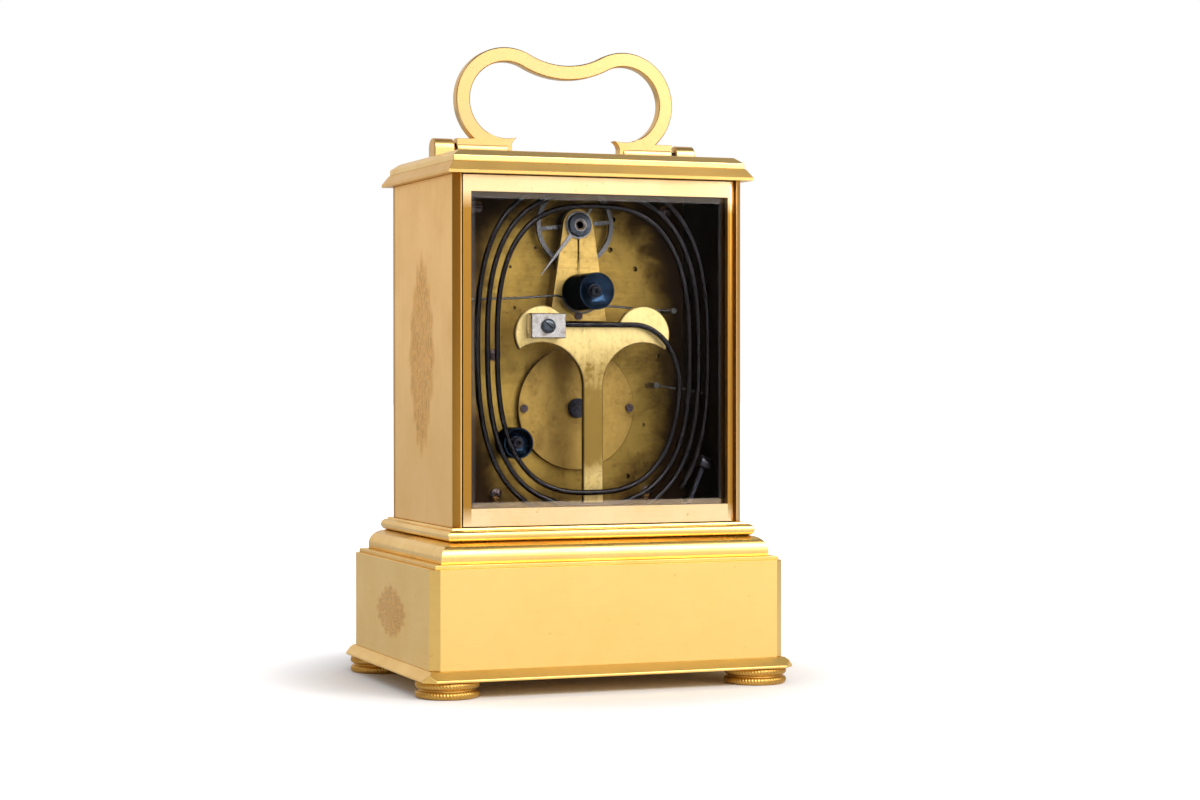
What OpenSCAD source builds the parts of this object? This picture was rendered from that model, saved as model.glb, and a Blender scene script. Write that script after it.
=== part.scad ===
// Early French carriage clock in a one-piece gilt brass case, striking on a wire gong.
// Millimetres, +Z up, the dial looks along -Y and the glazed back door along +Y.
// The origin is on the surface that the feet stand on, under the middle of the case.

/* [Feet and plinth] */
// Radius of a foot
foot_r = 8.8; // [6:0.1:11]
// Height of a foot
foot_h = 4.7; // [3:0.1:8]
// Distance from the plinth's side to the middle of a foot
foot_inset = 6.4; // [5:0.1:10]
// Thickness of the base slab
base_t = 2.9; // [2:0.1:5]
// How far the base slab stands out past the plinth
base_out = 2.5; // [1:0.1:4]
// Height of the slab's upright edge below its bevel
base_edge = 0.6; // [0.3:0.1:1.5]
// Width of the plinth box
plinth_w = 103.8; // [102:0.2:110]
// Depth of the plinth box
plinth_d = 77.2; // [75:0.2:84]
// Height of the plinth box
plinth_h = 27.25; // [18:0.25:40]
// Wall of the plinth box
plinth_wall = 3; // [2:0.1:5]
// Leg of the plinth's cut corners
plinth_cut = 2.4; // [1:0.1:4]
// Thickness of the step plate on the plinth
step_t = 1.05; // [0.8:0.05:2]
// How far the step plate stands in from the plinth
step_in = 1.35; // [0.8:0.05:2.4]

/* [Mouldings] */
// How far the lower moulding stands out past the body
lower_out = 5.4; // [4.4:0.1:6]
// Height of the lower moulding's upright band
lower_band = 1.4; // [0.8:0.1:4]
// Radius of the lower moulding's quarter round
lower_r = 4.3; // [1.5:0.1:4.8]
// How far the upper moulding stands out past the body
upper_out = 2.5; // [2:0.1:3.2]
// Radius of the upper moulding's half round
upper_r = 1.6; // [1.2:0.1:1.8]
// Height of the upper moulding
upper_h = 3.7; // [3.2:0.1:5]
// Thickness of the case floor
floor_t = 2; // [1.5:0.1:3]

/* [Body] */
// Width of the body
body_w = 85.6; // [84:0.2:88]
// Depth of the body
body_d = 60.4; // [59.6:0.2:62]
// Height of the body walls
body_h = 96.3; // [96:0.1:104]
// Thickness of a case wall
wall = 3.5; // [3:0.1:4]
// Leg of the body's cut corners
body_cut = 2.1; // [1.5:0.1:2.4]
// How far the cornice stands out past the body
cornice_out = 2.2; // [1.5:0.1:3]
// Height of the cornice frame
cornice_h = 3.3; // [2.5:0.1:5]
// Thickness of the roof slab
roof_t = 3.3; // [2.5:0.1:5]
// How far the roof's bevel runs in
roof_bevel = 2.3; // [1:0.1:4]

/* [Door and front frame] */
// Thickness of the door frame
door_t = 3.2; // [3:0.1:3.6]
// Width of a stile of the door
stile_w = 2.35; // [2.35:0.05:4.35]
// Lowest point of the glass that shows, above the upper moulding
opening_low = 5.2; // [4.5:0.1:8]
// Height of the door's top rail, from the glass up to the cornice
top_rail = 4.8; // [4.6:0.1:11]
// Thickness of the glass
glass_t = 1.8; // [1.2:0.1:2]
// Width of the bevel round the glass
glass_bevel = 2; // [1:0.1:4]
// How far the frame laps over the glass
glass_lap = 0.6; // [0.4:0.1:0.8]
// Gap round the door
door_gap = 0.35; // [0.3:0.05:0.5]
// Radius of a hinge pin
hinge_pin_r = 0.8; // [0.6:0.05:0.9]

/* [Handle] */
// Height of the handle above its pivot
handle_rise = 29.3; // [24:0.1:36]
// Half of the handle's width
handle_half = 33; // [30:0.5:34]
// Width of the handle's bar, seen from the back
bar_w = 4.1; // [3:0.1:5]
// Thickness of the handle's bar
bar_t = 3.4; // [2.6:0.1:4]
// How far the handle dips in the middle
dip = 4.5; // [2:0.1:6]
// Radius of the handle's shoulders
shoulder_r = 15; // [12:0.1:16]
// Height of the pivot above the roof
pivot_up = 2.5; // [2.4:0.1:3]
// Radius of the handle's barrel round its pivot
barrel_r = 2.1; // [1.8:0.1:2.2]
// Radius of a handle pin
handle_pin_r = 1; // [0.8:0.05:1.2]
// Gap between the handle and a knuckle
knuckle_gap = 0.9; // [0.4:0.1:1.5]
// Length of a knuckle
knuckle_w = 6.1; // [4:0.1:7]
// Depth of a knuckle
knuckle_d = 5.8; // [5.2:0.1:7]

/* [Plates] */
// Width of the movement plates
plate_w = 69; // [68:0.2:72]
// Height of the movement plates
plate_h = 95.4; // [94:0.1:97]
// Thickness of a plate
plate_t = 2.5; // [2:0.1:3]
// Gap between the plates
plate_gap = 19; // [18.6:0.1:19.6]
// Radius of a plate pillar
pillar_r = 2.2; // [1.8:0.1:3]
// Radius of a plate screw's thread
screw_r = 0.9; // [0.7:0.05:1.2]
// Radius of a plate screw's head
screw_head_r = 1.7; // [1.3:0.05:2.2]
// Running clearance of a pivot, on the radius
run = 0.05; // [0.03:0.01:0.08]

/* [Barrels and winding] */
// Outer radius of a mainspring barrel
drum_r = 14.5; // [12:0.1:15.5]
// Wall of a barrel
drum_wall = 0.9; // [0.7:0.1:1.4]
// Depth of a barrel
drum_h = 5.6; // [4.6:0.1:5.8]
// Radius of the barrel arbor
barrel_arbor_r = 1.5; // [1.2:0.05:1.8]
// Radius of the round barrel bridge on the back plate
bridge_r = 17.6; // [16.8:0.1:18.5]
// Thickness of the barrel bridge
bridge_t = 2; // [1.5:0.1:2.4]
// Radius of the winding arbor
winding_arbor_r = 1.5; // [1.2:0.05:1.8]
// Radius of the winding knob
winding_knob_r = 4.4; // [3:0.1:5]
// Gap between the winding knob's end and the gong
winding_knob_clear = 5.75; // [4.75:0.05:8.75]

/* [Dial and hands] */
// Radius of the enamel dial
dial_r = 25; // [24.4:0.1:26]
// Thickness of the enamel dial
dial_t = 1; // [0.8:0.1:1.2]
// Radius of the hole in the dial mask
mask_hole_r = 23.8; // [22:0.1:24]
// Thickness of the dial mask
mask_t = 0.8; // [0.6:0.1:1]
// Length of the minute hand
minute_hand_len = 21.5; // [18:0.1:22.5]
// Length of the hour hand
hour_hand_len = 14.5; // [11:0.1:16]
// Thickness of a hand
hand_t = 0.4; // [0.3:0.05:0.5]
// Gap between the minute hand and the front glass
hand_clear = 1.6; // [1.2:0.1:2]
// Radius of the hand-setting arbor
setting_arbor_r = 0.95; // [0.8:0.05:1.05]
// Radius of the hand-setting knob
setting_knob_r = 5.2; // [4:0.1:5.4]
// Gap between the hand-setting knob and the back glass
knob_clear = 0.9; // [0.8:0.1:6]

/* [Balance] */
// Outer radius of the balance
balance_r = 11.6; // [9:0.1:12]
// Width of the balance's rim
balance_rim = 1.2; // [0.8:0.1:2]
// Thickness of the balance's rim
balance_t = 1.3; // [0.8:0.1:1.6]
// Height of the balance cock above the back plate
cock_h = 5.5; // [5.2:0.1:6]
// Thickness of the cock's arm over the balance
cock_arm_t = 1.9; // [1.4:0.1:2]
// Radius of the steel cap on the cock
cap_r = 3.4; // [3:0.1:4]
// Radius of the regulator's ring
index_r = 3.9; // [3.6:0.1:4.6]
// Length of the regulator's tail from the balance's axis
index_len = 18.4; // [12:0.1:20]

/* [Gong] */
// Diameter of the gong wire
gong_wire = 1.5; // [0.8:0.05:1.7]
// Distance from the back glass in to the gong's middle plane
gong_in = 4.7; // [4.2:0.1:5.2]
// Turns of the gong
gong_turns = 3.13; // [2:0.01:3.15]
// Gap between the gong's last turn and the case walls
gong_side_clear = 3.4; // [3:0.1:5.9]
// Half height of the gong's first turn
gong_half_h = 40; // [36:0.1:40.4]
// Step of the gong from turn to turn at its sides
gong_step_side = 2.85; // [2.2:0.05:3]
// Step from turn to turn at its top
gong_step_top = 3.5; // [2.2:0.05:3.6]
// Step from turn to turn at its bottom
gong_step_low = 3.3; // [2:0.05:3.4]
// Thickness of the gong stand
stand_t = 2; // [1.5:0.1:3]
// Radius of a lobe of the gong stand
lobe_r = 7.9; // [6.5:0.1:8.2]
// Width of the block that holds the gong
block_w = 10.2; // [8:0.1:12]
// Height of the block that holds the gong
block_h = 6.9; // [5:0.1:9]
// Thickness of the block that holds the gong
block_t = 4; // [3.4:0.1:4.4]

/* [Hidden] */

// Colours
gilt = "#e3bd62";
brass = "#c9a24c";
steel = "#8c8c90";
blued = "#26364f";
enamel = "#f2efe4";
clear_glass = "#cfe0e480";

// Small clearances: seats on one body meet face to face, moving ones keep a gap
fit = 0.1;
gap = 0.3;
small_head_r = 1.1;
eps = 0.01;
$fn = 64;

// Heights of the case, from the floor up
base_z = foot_h;
plinth_z = base_z + base_t;
step_z = plinth_z + plinth_h;
lower_z = step_z + step_t;
lower_h = lower_band + lower_r;
upper_z = lower_z + lower_h;
body_z = upper_z + upper_h;
cornice_z = body_z + body_h;
roof_z = cornice_z + cornice_h;
top_z = roof_z + roof_t;
pivot_z = top_z + pivot_up;
handle_top = pivot_z + handle_rise;
opening_z = body_z + opening_low;
opening_h = body_h - opening_low - top_rail;

// Half sizes of the body, and what stands in it
bx = body_w / 2;
by = body_d / 2;
inner_x = bx - wall;
door_x = bx - body_cut - door_gap;
door_in = by - door_t;
opening_w = 2 * (door_x - stile_w);
glass_in = door_in + 0.2;
floor_top = upper_z + floor_t;
ledge = 2.3;
cornice_edge = 0.8;
cornice_top_out = 0.5;
roof_out = 0.3;
roof_edge = 1.6;

// Places on the plates, as [X, Z]
mid = [0, body_z + 64.9];
barrel_at = [-0.8, mid.y - 32.8];
winding_at = [19.5, mid.y - 42.4];
intermediate_at = [-10.4, mid.y - 14.2];
third_at = [17.3, mid.y - 4.4];
fourth_at = [25.2, mid.y + 0.6];
escape_at = [18.5, mid.y + 7.2];
lever_at = [11, mid.y + 12.7];
balance_at = [0, mid.y + 19.1];
pin_wheel_at = [-22, mid.y - 37.8];
warning_at = [-25.8, mid.y - 26.8];
fly_at = [-26.6, mid.y - 17.9];
cock_screw_at = [mid.x, mid.y - setting_knob_r - gap - small_head_r];
minute_wheel_at = [8.4, mid.y];
click_at = [9.5, mid.y - 26.6];
pillars_at = [
    [23, mid.y - 57], [-23, mid.y - 57], [23.3, mid.y - 17.7], [28.5, mid.y + 23.8], [-28.5, mid.y + 23.8]];
mask_posts_at = [[31, mid.y - 50], [-31, mid.y - 50], [31, mid.y + 22], [-31, mid.y + 22]];
bridge_screws_at = [[barrel_at.x - 16, barrel_at.y], [barrel_at.x + 16, barrel_at.y]];
rods_at = [for (x = [-1, 1], y = [-1, 1]) [x * (inner_x - 5.3), y * (door_in - 7)]];

// Depths of the movement, along Y
minute_y = hand_clear - glass_in;
hour_y = minute_y + 2 * hand_t + gap;
mask_front = hour_y + 0.5;
mask_back = mask_front + mask_t;
dial_back = mask_back + dial_t;
front_out = dial_back + 4.2;
front_in = front_out + plate_t;
back_in = front_in + plate_gap;
plate_back = back_in + plate_t;
bridge_front = plate_back + bridge_t;
cock_front = plate_back + cock_h;
setting_knob_end = glass_in - knob_clear;
gong_y = glass_in - gong_in;
stand_front = gong_y - block_t / 2;
winding_knob_end = gong_y - gong_wire / 2 - winding_knob_clear;
gong_half_w = inner_x - gong_side_clear - gong_wire / 2 - 3 * gong_step_side;
hammer_at = [-gong_half_w - 1.9, mid.y - 61.3];

// Tooth counts of the trains
great_n = 72;
intermediate_leaves = 10;
intermediate_n = 60;
centre_leaves = 12;
centre_n = 64;
third_leaves = 8;
third_n = 60;
fourth_leaves = 8;
fourth_n = 64;
escape_leaves = 8;
escape_n = 15;
cannon_n = 12;
minute_n = 36;
minute_leaves = 10;
hour_n = 40;
winding_n = 38;
winding_leaves = 18;
ratchet_n = 30;
pin_leaves = 10;
pin_n = 60;
warning_leaves = 8;
warning_n = 54;
fly_leaves = 8;

// Distance between two arbors, the module that fits their teeth, and the angle from one to the other
function span(a, b) = norm(b - a);
function tooth_module(a, b, n1, n2) = 2 * span(a, b) / (n1 + n2);
function bearing(a, b) = atan2(a.y - b.y, b.x - a.x);
// Phase of the second gear, so that its gap meets a tooth of the first on the line of centres
function mesh(a, b, n1, n2, phase) = bearing(a, b) + 180 - (180 - n1 * (bearing(a, b) - phase)) / n2;

// Puts a shape's own Z along +Y, at [X, Z] and from depth y
module at(p, y) translate([p.x, y, p.y]) rotate([-90, 0, 0]) children();
module rod(p, y0, y1, r) at(p, y0) cylinder(r = r, h = y1 - y0);
module tube(p, y0, y1, r, bore) at(p, y0) difference() {
    cylinder(r = r, h = y1 - y0);
    translate([0, 0, -1]) cylinder(r = bore, h = y1 - y0 + 2);
}

// Outline of a gear: wheels have slim teeth, pinions have slimmer leaves
module gear_outline(n, m, pinion = false, phase = 0) {
    rp = n * m / 2;
    tip = rp + (pinion ? 0.7 : 0.85) * m;
    root = rp - 1.2 * m;
    half_root = (pinion ? 0.38 : 0.48) * 180 / n;
    half_tip = 0.14 * 180 / n;
    corners = [[root, -half_root], [tip, -half_tip], [tip, half_tip], [root, half_root]];
    polygon([for (k = [0:n - 1], c = corners)
        c[0] * [cos(phase + k * 360 / n + c[1]), sin(phase + k * 360 / n + c[1])]]);
}

// A crossed-out wheel on its arbor: teeth, rim, four spokes and a hub
module wheel(p, y, t, n, m, phase, bore, rim_w = 0) at(p, y) linear_extrude(t) difference() {
    rim = n * m / 2 - max(2.6 * m, rim_w);
    hub = max(bore + 0.8, 0.24 * rim);
    gear_outline(n, m, false, phase);
    difference() {
        circle(r = rim);
        circle(r = hub);
        for (a = [45, 135]) rotate(a) square([2 * rim + 1, 0.16 * rim + 0.4], center = true);
    }
    circle(r = bore);
}
module pinion(p, y0, y1, n, m, phase, bore) at(p, y0) linear_extrude(y1 - y0) difference() {
    gear_outline(n, m, true, phase);
    circle(r = bore);
}

// An arbor between the plates, with a pivot in each
module arbor(p, r, pivot) {
    rod(p, front_in + 0.2, back_in - 0.2, r);
    rod(p, front_in - 1.5, back_in + 1.5, pivot);
}

// Slab with cut corners
module cut_slab(w, d, cut) polygon([
    [w - cut, -d], [w, -d + cut], [w, d - cut], [w - cut, d],
    [-w + cut, d], [-w, d - cut], [-w, -d + cut], [-w + cut, -d]]);

// Section of a slab of half width half, whose edge runs through points outside that, with the children
// added to each edge
module section(half, points) {
    polygon(concat([for (p = points) [half + p.x, p.y]],
        [for (i = [len(points) - 1:-1:0]) [-half - points[i].x, points[i].y]]));
    for (x = [-half, half]) translate([x, 0]) children();
}
// Straight moulding round a rectangle, mitred at its corners
module moulding(hx, hy, z, points) intersection() {
    translate([0, 0, z]) rotate([90, 0, 0])
        linear_extrude(4 * hy, center = true) section(hx, points) children();
    translate([0, 0, z]) rotate([90, 0, 90])
        linear_extrude(4 * hx, center = true) section(hy, points) children();
}

module feet() color(gilt)
    for (x = [-1, 1], y = [-1, 1])
        translate([x * (plinth_w / 2 - foot_inset), y * (plinth_d / 2 - foot_inset), 0])
            rotate_extrude() difference() {
                square([foot_r, foot_h]);
                // Rounded edges of the two rings, and the groove between them
                translate([foot_r + 0.3, foot_h / 2]) circle(r = 0.75);
                for (s = [0, 1]) translate([0, s * foot_h]) mirror([0, s]) difference() {
                    translate([foot_r - 0.7, -eps]) square([1, 0.7]);
                    translate([foot_r - 0.7, 0.7]) circle(r = 0.7);
                }
            }

module base_slab() color(gilt) difference() {
    intersection() {
        translate([0, 0, base_z]) linear_extrude(base_t)
            cut_slab(plinth_w / 2 + base_out, plinth_d / 2 + base_out, plinth_cut + 0.7);
        moulding(plinth_w / 2, plinth_d / 2, base_z, [[base_out, 0], [base_out, base_edge], [0, base_t]]);
    }
    for (p = rods_at) translate([p.x, p.y, base_z - 1]) cylinder(r = rod_r + fit, h = base_t + 2);
    for (p = rods_at) translate([p.x, p.y, base_z - 1]) cylinder(r = rod_head_r + fit, h = 1 + rod_head_h);
}

module plinth_box() color(gilt) translate([0, 0, plinth_z]) linear_extrude(plinth_h) difference() {
    cut_slab(plinth_w / 2, plinth_d / 2, plinth_cut);
    square([plinth_w - 2 * plinth_wall, plinth_d - 2 * plinth_wall], center = true);
}

module plinth_step() color(gilt) translate([0, 0, step_z]) linear_extrude(step_t) difference() {
    square([plinth_w - 2 * step_in, plinth_d - 2 * step_in], center = true);
    square([body_w - 4 * ledge, body_d - 4 * ledge], center = true);
}

module lower_moulding() color(gilt) difference() {
    moulding(bx + lower_out - lower_r, by + lower_out - lower_r, lower_z,
        [[lower_r, 0], [lower_r, lower_band], [0, lower_band], [0, lower_h]])
        intersection() {
            translate([0, lower_band]) circle(r = lower_r);
            translate([-lower_r, 0]) square([2 * lower_r, lower_h]);
        }
    translate([-bx + 2 * ledge, -by + 2 * ledge, lower_z - 1])
        cube([body_w - 4 * ledge, body_d - 4 * ledge, lower_h + 2]);
}

module upper_moulding() color(gilt) difference() {
    moulding(bx + upper_out - upper_r, by + upper_out - upper_r, upper_z, [[0, 0], [0, upper_h]])
        translate([0, upper_r]) circle(r = upper_r);
    translate([-bx + ledge, -by + ledge, upper_z - 1])
        cube([body_w - 2 * ledge, body_d - 2 * ledge, upper_h + 2]);
    hinge_sockets(body_z - socket_deep, socket_deep + 1);
}

// The case floor lies on the lower moulding, inside the upper one, and carries the movement
module case_floor() color(brass) difference() {
    translate([-bx + ledge + fit, -by + ledge + fit, upper_z])
        cube([body_w - 2 * (ledge + fit), body_d - 2 * (ledge + fit), floor_t]);
    for (p = rods_at) translate([p.x, p.y, upper_z - 1]) cylinder(r = rod_r, h = floor_t + 2);
}

// Long screws from under the base up into the case floor
rod_r = 1.2;
rod_head_r = 2.6;
rod_head_h = 1.4;
module case_rods() color(steel) for (p = rods_at) translate([p.x, p.y, base_z]) difference() {
    union() {
        cylinder(r = rod_r, h = floor_top - base_z);
        cylinder(r = rod_head_r, h = rod_head_h);
    }
    translate([-rod_head_r - 1, -0.25, -1]) cube([2 * rod_head_r + 2, 0.5, 1.5]);
}

// A case wall is a shallow channel: its returns take the cut corners and stop the door
module case_wall(side) color(gilt) translate([0, 0, body_z]) mirror([side < 0 ? 1 : 0, 0, 0])
    linear_extrude(body_h) polygon([
        [bx, -by + body_cut], [bx, by - body_cut], [bx - body_cut, by], [bx - body_cut, door_in - gap],
        [inner_x, door_in - gap], [inner_x, -door_in + gap], [bx - body_cut, -door_in + gap],
        [bx - body_cut, -by]]);
module left_wall() case_wall(1);
module right_wall() case_wall(-1);

module cornice() color(gilt) difference() {
    moulding(bx, by, cornice_z, [[cornice_out, 0], [cornice_out, cornice_edge], [cornice_top_out, cornice_h]]);
    translate([-inner_x, -door_in + 1, cornice_z - 1]) cube([2 * inner_x, 2 * door_in - 2, cornice_h + 2]);
    hinge_sockets(cornice_z - 1, socket_deep + 1);
}

module roof() color(gilt) moulding(bx, by, roof_z,
    [[roof_out, 0], [roof_out, roof_edge], [roof_out - roof_bevel, roof_t]]);

// Handle: a flat bar bent into two round shoulders with a dip between them
foot_in = 15;
tail_cut_r = 3;
shoulder_x = handle_half - shoulder_r;
shoulder_z = handle_rise - shoulder_r;
inner_r = shoulder_r - bar_w;
// Radius of the dip's arc that meets a shoulder of radius r at height h above the shoulder's middle
function dip_r(r, h) = (shoulder_x * shoulder_x + h * h - r * r) / (2 * (r - h));
outer_dip_r = dip_r(shoulder_r, shoulder_r - dip);
inner_dip_r = dip_r(inner_r, inner_r - dip);
outer_dip_z = handle_rise - dip + outer_dip_r;
inner_dip_z = handle_rise - dip - bar_w + inner_dip_r;
// Where the arcs meet, as a share of the line between their middles
function meet(r, dip_radius, dip_middle) =
    [shoulder_x, shoulder_z] + r / (r + dip_radius) * [-shoulder_x, dip_middle - shoulder_z];
outer_meet = meet(shoulder_r, outer_dip_r, outer_dip_z);
inner_meet = meet(inner_r, inner_dip_r, inner_dip_z);
cut_in = 2 * inner_meet - outer_meet;
cut_out = 2 * outer_meet - inner_meet;
foot_top = 3;
tail_top = 4;

module handle_half_outline() difference() {
    union() {
        intersection() {
            difference() {
                translate([0, inner_dip_z]) circle(r = inner_dip_r, $fn = 128);
                translate([0, outer_dip_z]) circle(r = outer_dip_r, $fn = 128);
            }
            polygon([[-eps, cut_in.y - 5], cut_in, cut_out, [-eps, cut_out.y]]);
        }
        difference() {
            translate([shoulder_x, shoulder_z]) circle(r = shoulder_r, $fn = 128);
            polygon([cut_in, cut_out, [-1, handle_rise + 5], [-1, -5], [foot_in, -5], [foot_in, shoulder_z]]);
        }
        translate([foot_in, 0]) square([handle_half - foot_in - 0.1, foot_top]);
        translate([foot_in, 0]) square([shoulder_x - foot_in + 6, tail_top]);
    }
    translate([shoulder_x, shoulder_z]) circle(r = inner_r, $fn = 128);
    translate([foot_in - 0.6, 1]) circle(r = tail_cut_r);
    translate([0, -handle_rise]) square([handle_half + 1, handle_rise]);
}

module handle() color(gilt) difference() {
    translate([0, 0, pivot_z]) union() {
        rotate([90, 0, 0]) linear_extrude(bar_t, center = true) {
            handle_half_outline();
            mirror([1, 0]) handle_half_outline();
        }
        for (s = [-1, 1]) mirror([s < 0 ? 1 : 0, 0, 0])
            translate([foot_in + 2.6, 0, 0]) rotate([0, 90, 0])
                cylinder(r = barrel_r, h = handle_half - foot_in - 2.7);
    }
    handle_pin_holes(handle_pin_r, pin_in - eps);
}

// Pins pressed into the handle's feet, turning in the knuckles
pin_in = handle_half - 6;
knuckle_x = handle_half - 0.1 + knuckle_gap;
pin_out = knuckle_x + knuckle_w - 1.5;
module handle_pin_holes(r, from) for (s = [-1, 1]) mirror([s < 0 ? 1 : 0, 0, 0])
    translate([from, 0, pivot_z]) rotate([0, 90, 0]) cylinder(r = r, h = pin_out - from + 0.2);
module handle_pins() color(steel) for (s = [-1, 1]) mirror([s < 0 ? 1 : 0, 0, 0])
    translate([pin_in, 0, pivot_z]) rotate([0, 90, 0]) cylinder(r = handle_pin_r, h = pin_out - pin_in);

module handle_knuckles() color(gilt) difference() {
    for (s = [-1, 1]) mirror([s < 0 ? 1 : 0, 0, 0])
        translate([knuckle_x, 0, top_z]) rotate([90, 0, 90]) linear_extrude(knuckle_w) {
            translate([-knuckle_d / 2, 0]) square([knuckle_d, pivot_up]);
            intersection() {
                translate([0, pivot_up]) circle(r = knuckle_d / 2);
                translate([-knuckle_d / 2, 0]) square([knuckle_d, pivot_up + knuckle_d]);
            }
        }
    handle_pin_holes(handle_pin_r + run, knuckle_x - 1);
}

// Door: its hinge edge is rounded about the pins
socket_deep = 2;
pin_grip = 3;
hinge_r = door_t / 2;
hinge_x = -door_x + hinge_r;
hinge_y = by - hinge_r;
door_low = body_z + door_gap;
door_high = cornice_z - door_gap;
module hinge_sockets(z, h) translate([hinge_x, hinge_y, z]) cylinder(r = hinge_pin_r + run, h = h);

module frame_cuts() {
    glass_seat = opening_w / 2 + glass_lap;
    translate([-opening_w / 2, door_in - 1, opening_z]) cube([opening_w, door_t + 2, opening_h]);
    translate([-glass_seat, door_in - 1, opening_z - glass_lap])
        cube([2 * glass_seat, 1 + glass_edge_y - door_in, opening_h + 2 * glass_lap]);
}

module back_door() color(gilt) difference() {
    union() {
        translate([hinge_x, door_in, door_low]) cube([door_x - hinge_x, door_t, door_high - door_low]);
        translate([hinge_x, hinge_y, door_low]) cylinder(r = hinge_r, h = door_high - door_low);
    }
    frame_cuts();
    translate([hinge_x, hinge_y, door_low - 1]) cylinder(r = hinge_pin_r, h = pin_grip + 1);
    translate([hinge_x, hinge_y, door_high - pin_grip]) cylinder(r = hinge_pin_r, h = pin_grip + 1);
}

module back_door_pins() color(steel) {
    pin_h = pin_grip + door_gap + socket_deep - gap;
    translate([hinge_x, hinge_y, door_low + pin_grip - pin_h]) cylinder(r = hinge_pin_r, h = pin_h);
    translate([hinge_x, hinge_y, door_high - pin_grip]) cylinder(r = hinge_pin_r, h = pin_h);
}

// Glass with a bevel all round, seated from inside against the frame's lap
glass_front = glass_in + glass_t;
glass_edge_y = glass_front - 0.8;
module glass() {
    half = opening_w / 2 + glass_lap - fit;
    low = opening_z - glass_lap + fit;
    high = opening_z + opening_h + glass_lap - fit;
    intersection() {
        translate([0, 0, low]) linear_extrude(high - low) polygon([
            [-half, glass_in], [half, glass_in], [half, glass_edge_y], [half - glass_lap, glass_edge_y],
            [half - glass_lap - glass_bevel, glass_front], [-half + glass_lap + glass_bevel, glass_front],
            [-half + glass_lap, glass_edge_y], [-half, glass_edge_y]]);
        rotate([90, 0, 90]) linear_extrude(2 * half + 2, center = true) polygon([
            [glass_in, low], [glass_edge_y, low], [glass_edge_y, low + glass_lap],
            [glass_front, low + glass_lap + glass_bevel], [glass_front, high - glass_lap - glass_bevel],
            [glass_edge_y, high - glass_lap], [glass_edge_y, high], [glass_in, high]]);
    }
}
module back_glass() color(clear_glass) glass();
module front_glass() color(clear_glass) rotate(180) glass();

module front_frame() color(gilt) rotate(180) difference() {
    translate([-bx + body_cut + fit, door_in, body_z]) cube([2 * (bx - body_cut - fit), door_t, body_h]);
    frame_cuts();
}

// Dial side
module dial() color(enamel) tube(mid, mask_back, dial_back, dial_r, 3);

// The mask's four posts are riveted to it
module dial_mask() color(gilt) {
    difference() {
        translate([-inner_x + gap, mask_front, floor_top]) cube([2 * (inner_x - gap), mask_t, plate_h]);
        rod(mid, mask_front - 1, mask_back + 1, mask_hole_r);
    }
    for (p = mask_posts_at) rod(p, mask_back - 0.2, front_out, 1.5);
}

module hand(length, width, y, bore) at(mid, y) linear_extrude(hand_t) difference() {
    union() {
        circle(r = bore + 1);
        // A round-tipped pointer with a ring near its end
        polygon([[-width / 3, -length * 0.7], [width / 3, -length * 0.7], [width / 2, 0], [-width / 2, 0]]);
        translate([0, -length * 0.78]) circle(r = width * 1.4);
        polygon([[0, -length], [width / 2, -length * 0.8], [-width / 2, -length * 0.8]]);
    }
    translate([0, -length * 0.78]) circle(r = width * 0.8);
    circle(r = bore);
}
module minute_hand() color(blued) hand(minute_hand_len, 1.3, minute_y, setting_arbor_r);
module hour_hand() color(blued) hand(hour_hand_len, 1.7, hour_y - hand_t, hour_pipe_r);

// Motion work in front of the front plate: 12 to 36, then 10 to 40
motion_y = front_out - 0.3;
cannon_pipe_r = setting_arbor_r + 0.7;
hour_pipe_r = cannon_pipe_r + run + 0.7;
cannon_module = tooth_module(mid, minute_wheel_at, cannon_n, minute_n);
hour_module = tooth_module(mid, minute_wheel_at, hour_n, minute_leaves);
module cannon_pinion() color(steel) {
    pinion(mid, motion_y - 1.4, motion_y, cannon_n, cannon_module, 0, setting_arbor_r);
    tube(mid, minute_y + hand_t, motion_y - 1.4, cannon_pipe_r, setting_arbor_r);
}
module minute_wheel() color(brass) {
    phase = mesh(mid, minute_wheel_at, cannon_n, minute_n, 0);
    wheel(minute_wheel_at, motion_y - 1.2, 1, minute_n, cannon_module, phase, 0.6 + run);
    pinion(minute_wheel_at, motion_y - 2.8, motion_y - 1.2, minute_leaves, hour_module, 0, 0.6 + run);
}
module hour_wheel() color(brass) {
    phase = mesh(minute_wheel_at, mid, minute_leaves, hour_n, 0);
    wheel(mid, motion_y - 2.6, 0.8, hour_n, hour_module, phase, cannon_pipe_r + run);
    tube(mid, hour_y - hand_t, motion_y - 2.6, hour_pipe_r, cannon_pipe_r + run);
}

// Plates
module plate(y) translate([-plate_w / 2, y, floor_top]) cube([plate_w, plate_t, plate_h]);

through_arbors = [
    [barrel_at, barrel_arbor_r], [winding_at, winding_arbor_r], [intermediate_at, 0.5], [third_at, 0.45],
    [fourth_at, 0.4], [escape_at, 0.35], [lever_at, 0.35], [pin_wheel_at, 0.5], [warning_at, 0.45],
    [fly_at, 0.4]];

module front_plate() color(brass) difference() {
    union() {
        plate(front_out);
        rod(minute_wheel_at, motion_y - 3, front_out + eps, 0.6);
    }
    for (a = through_arbors) rod(a[0], front_out - 1, front_in + 1, a[1] + run);
    rod(mid, front_out - 1, front_in + 1, setting_arbor_r + run);
    rod(hammer_at, front_out - 1, front_in + 1, hammer_r / 2 + run);
    rod(click_at, front_out - 1, front_in + 1, 0.6 + run);
}

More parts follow.
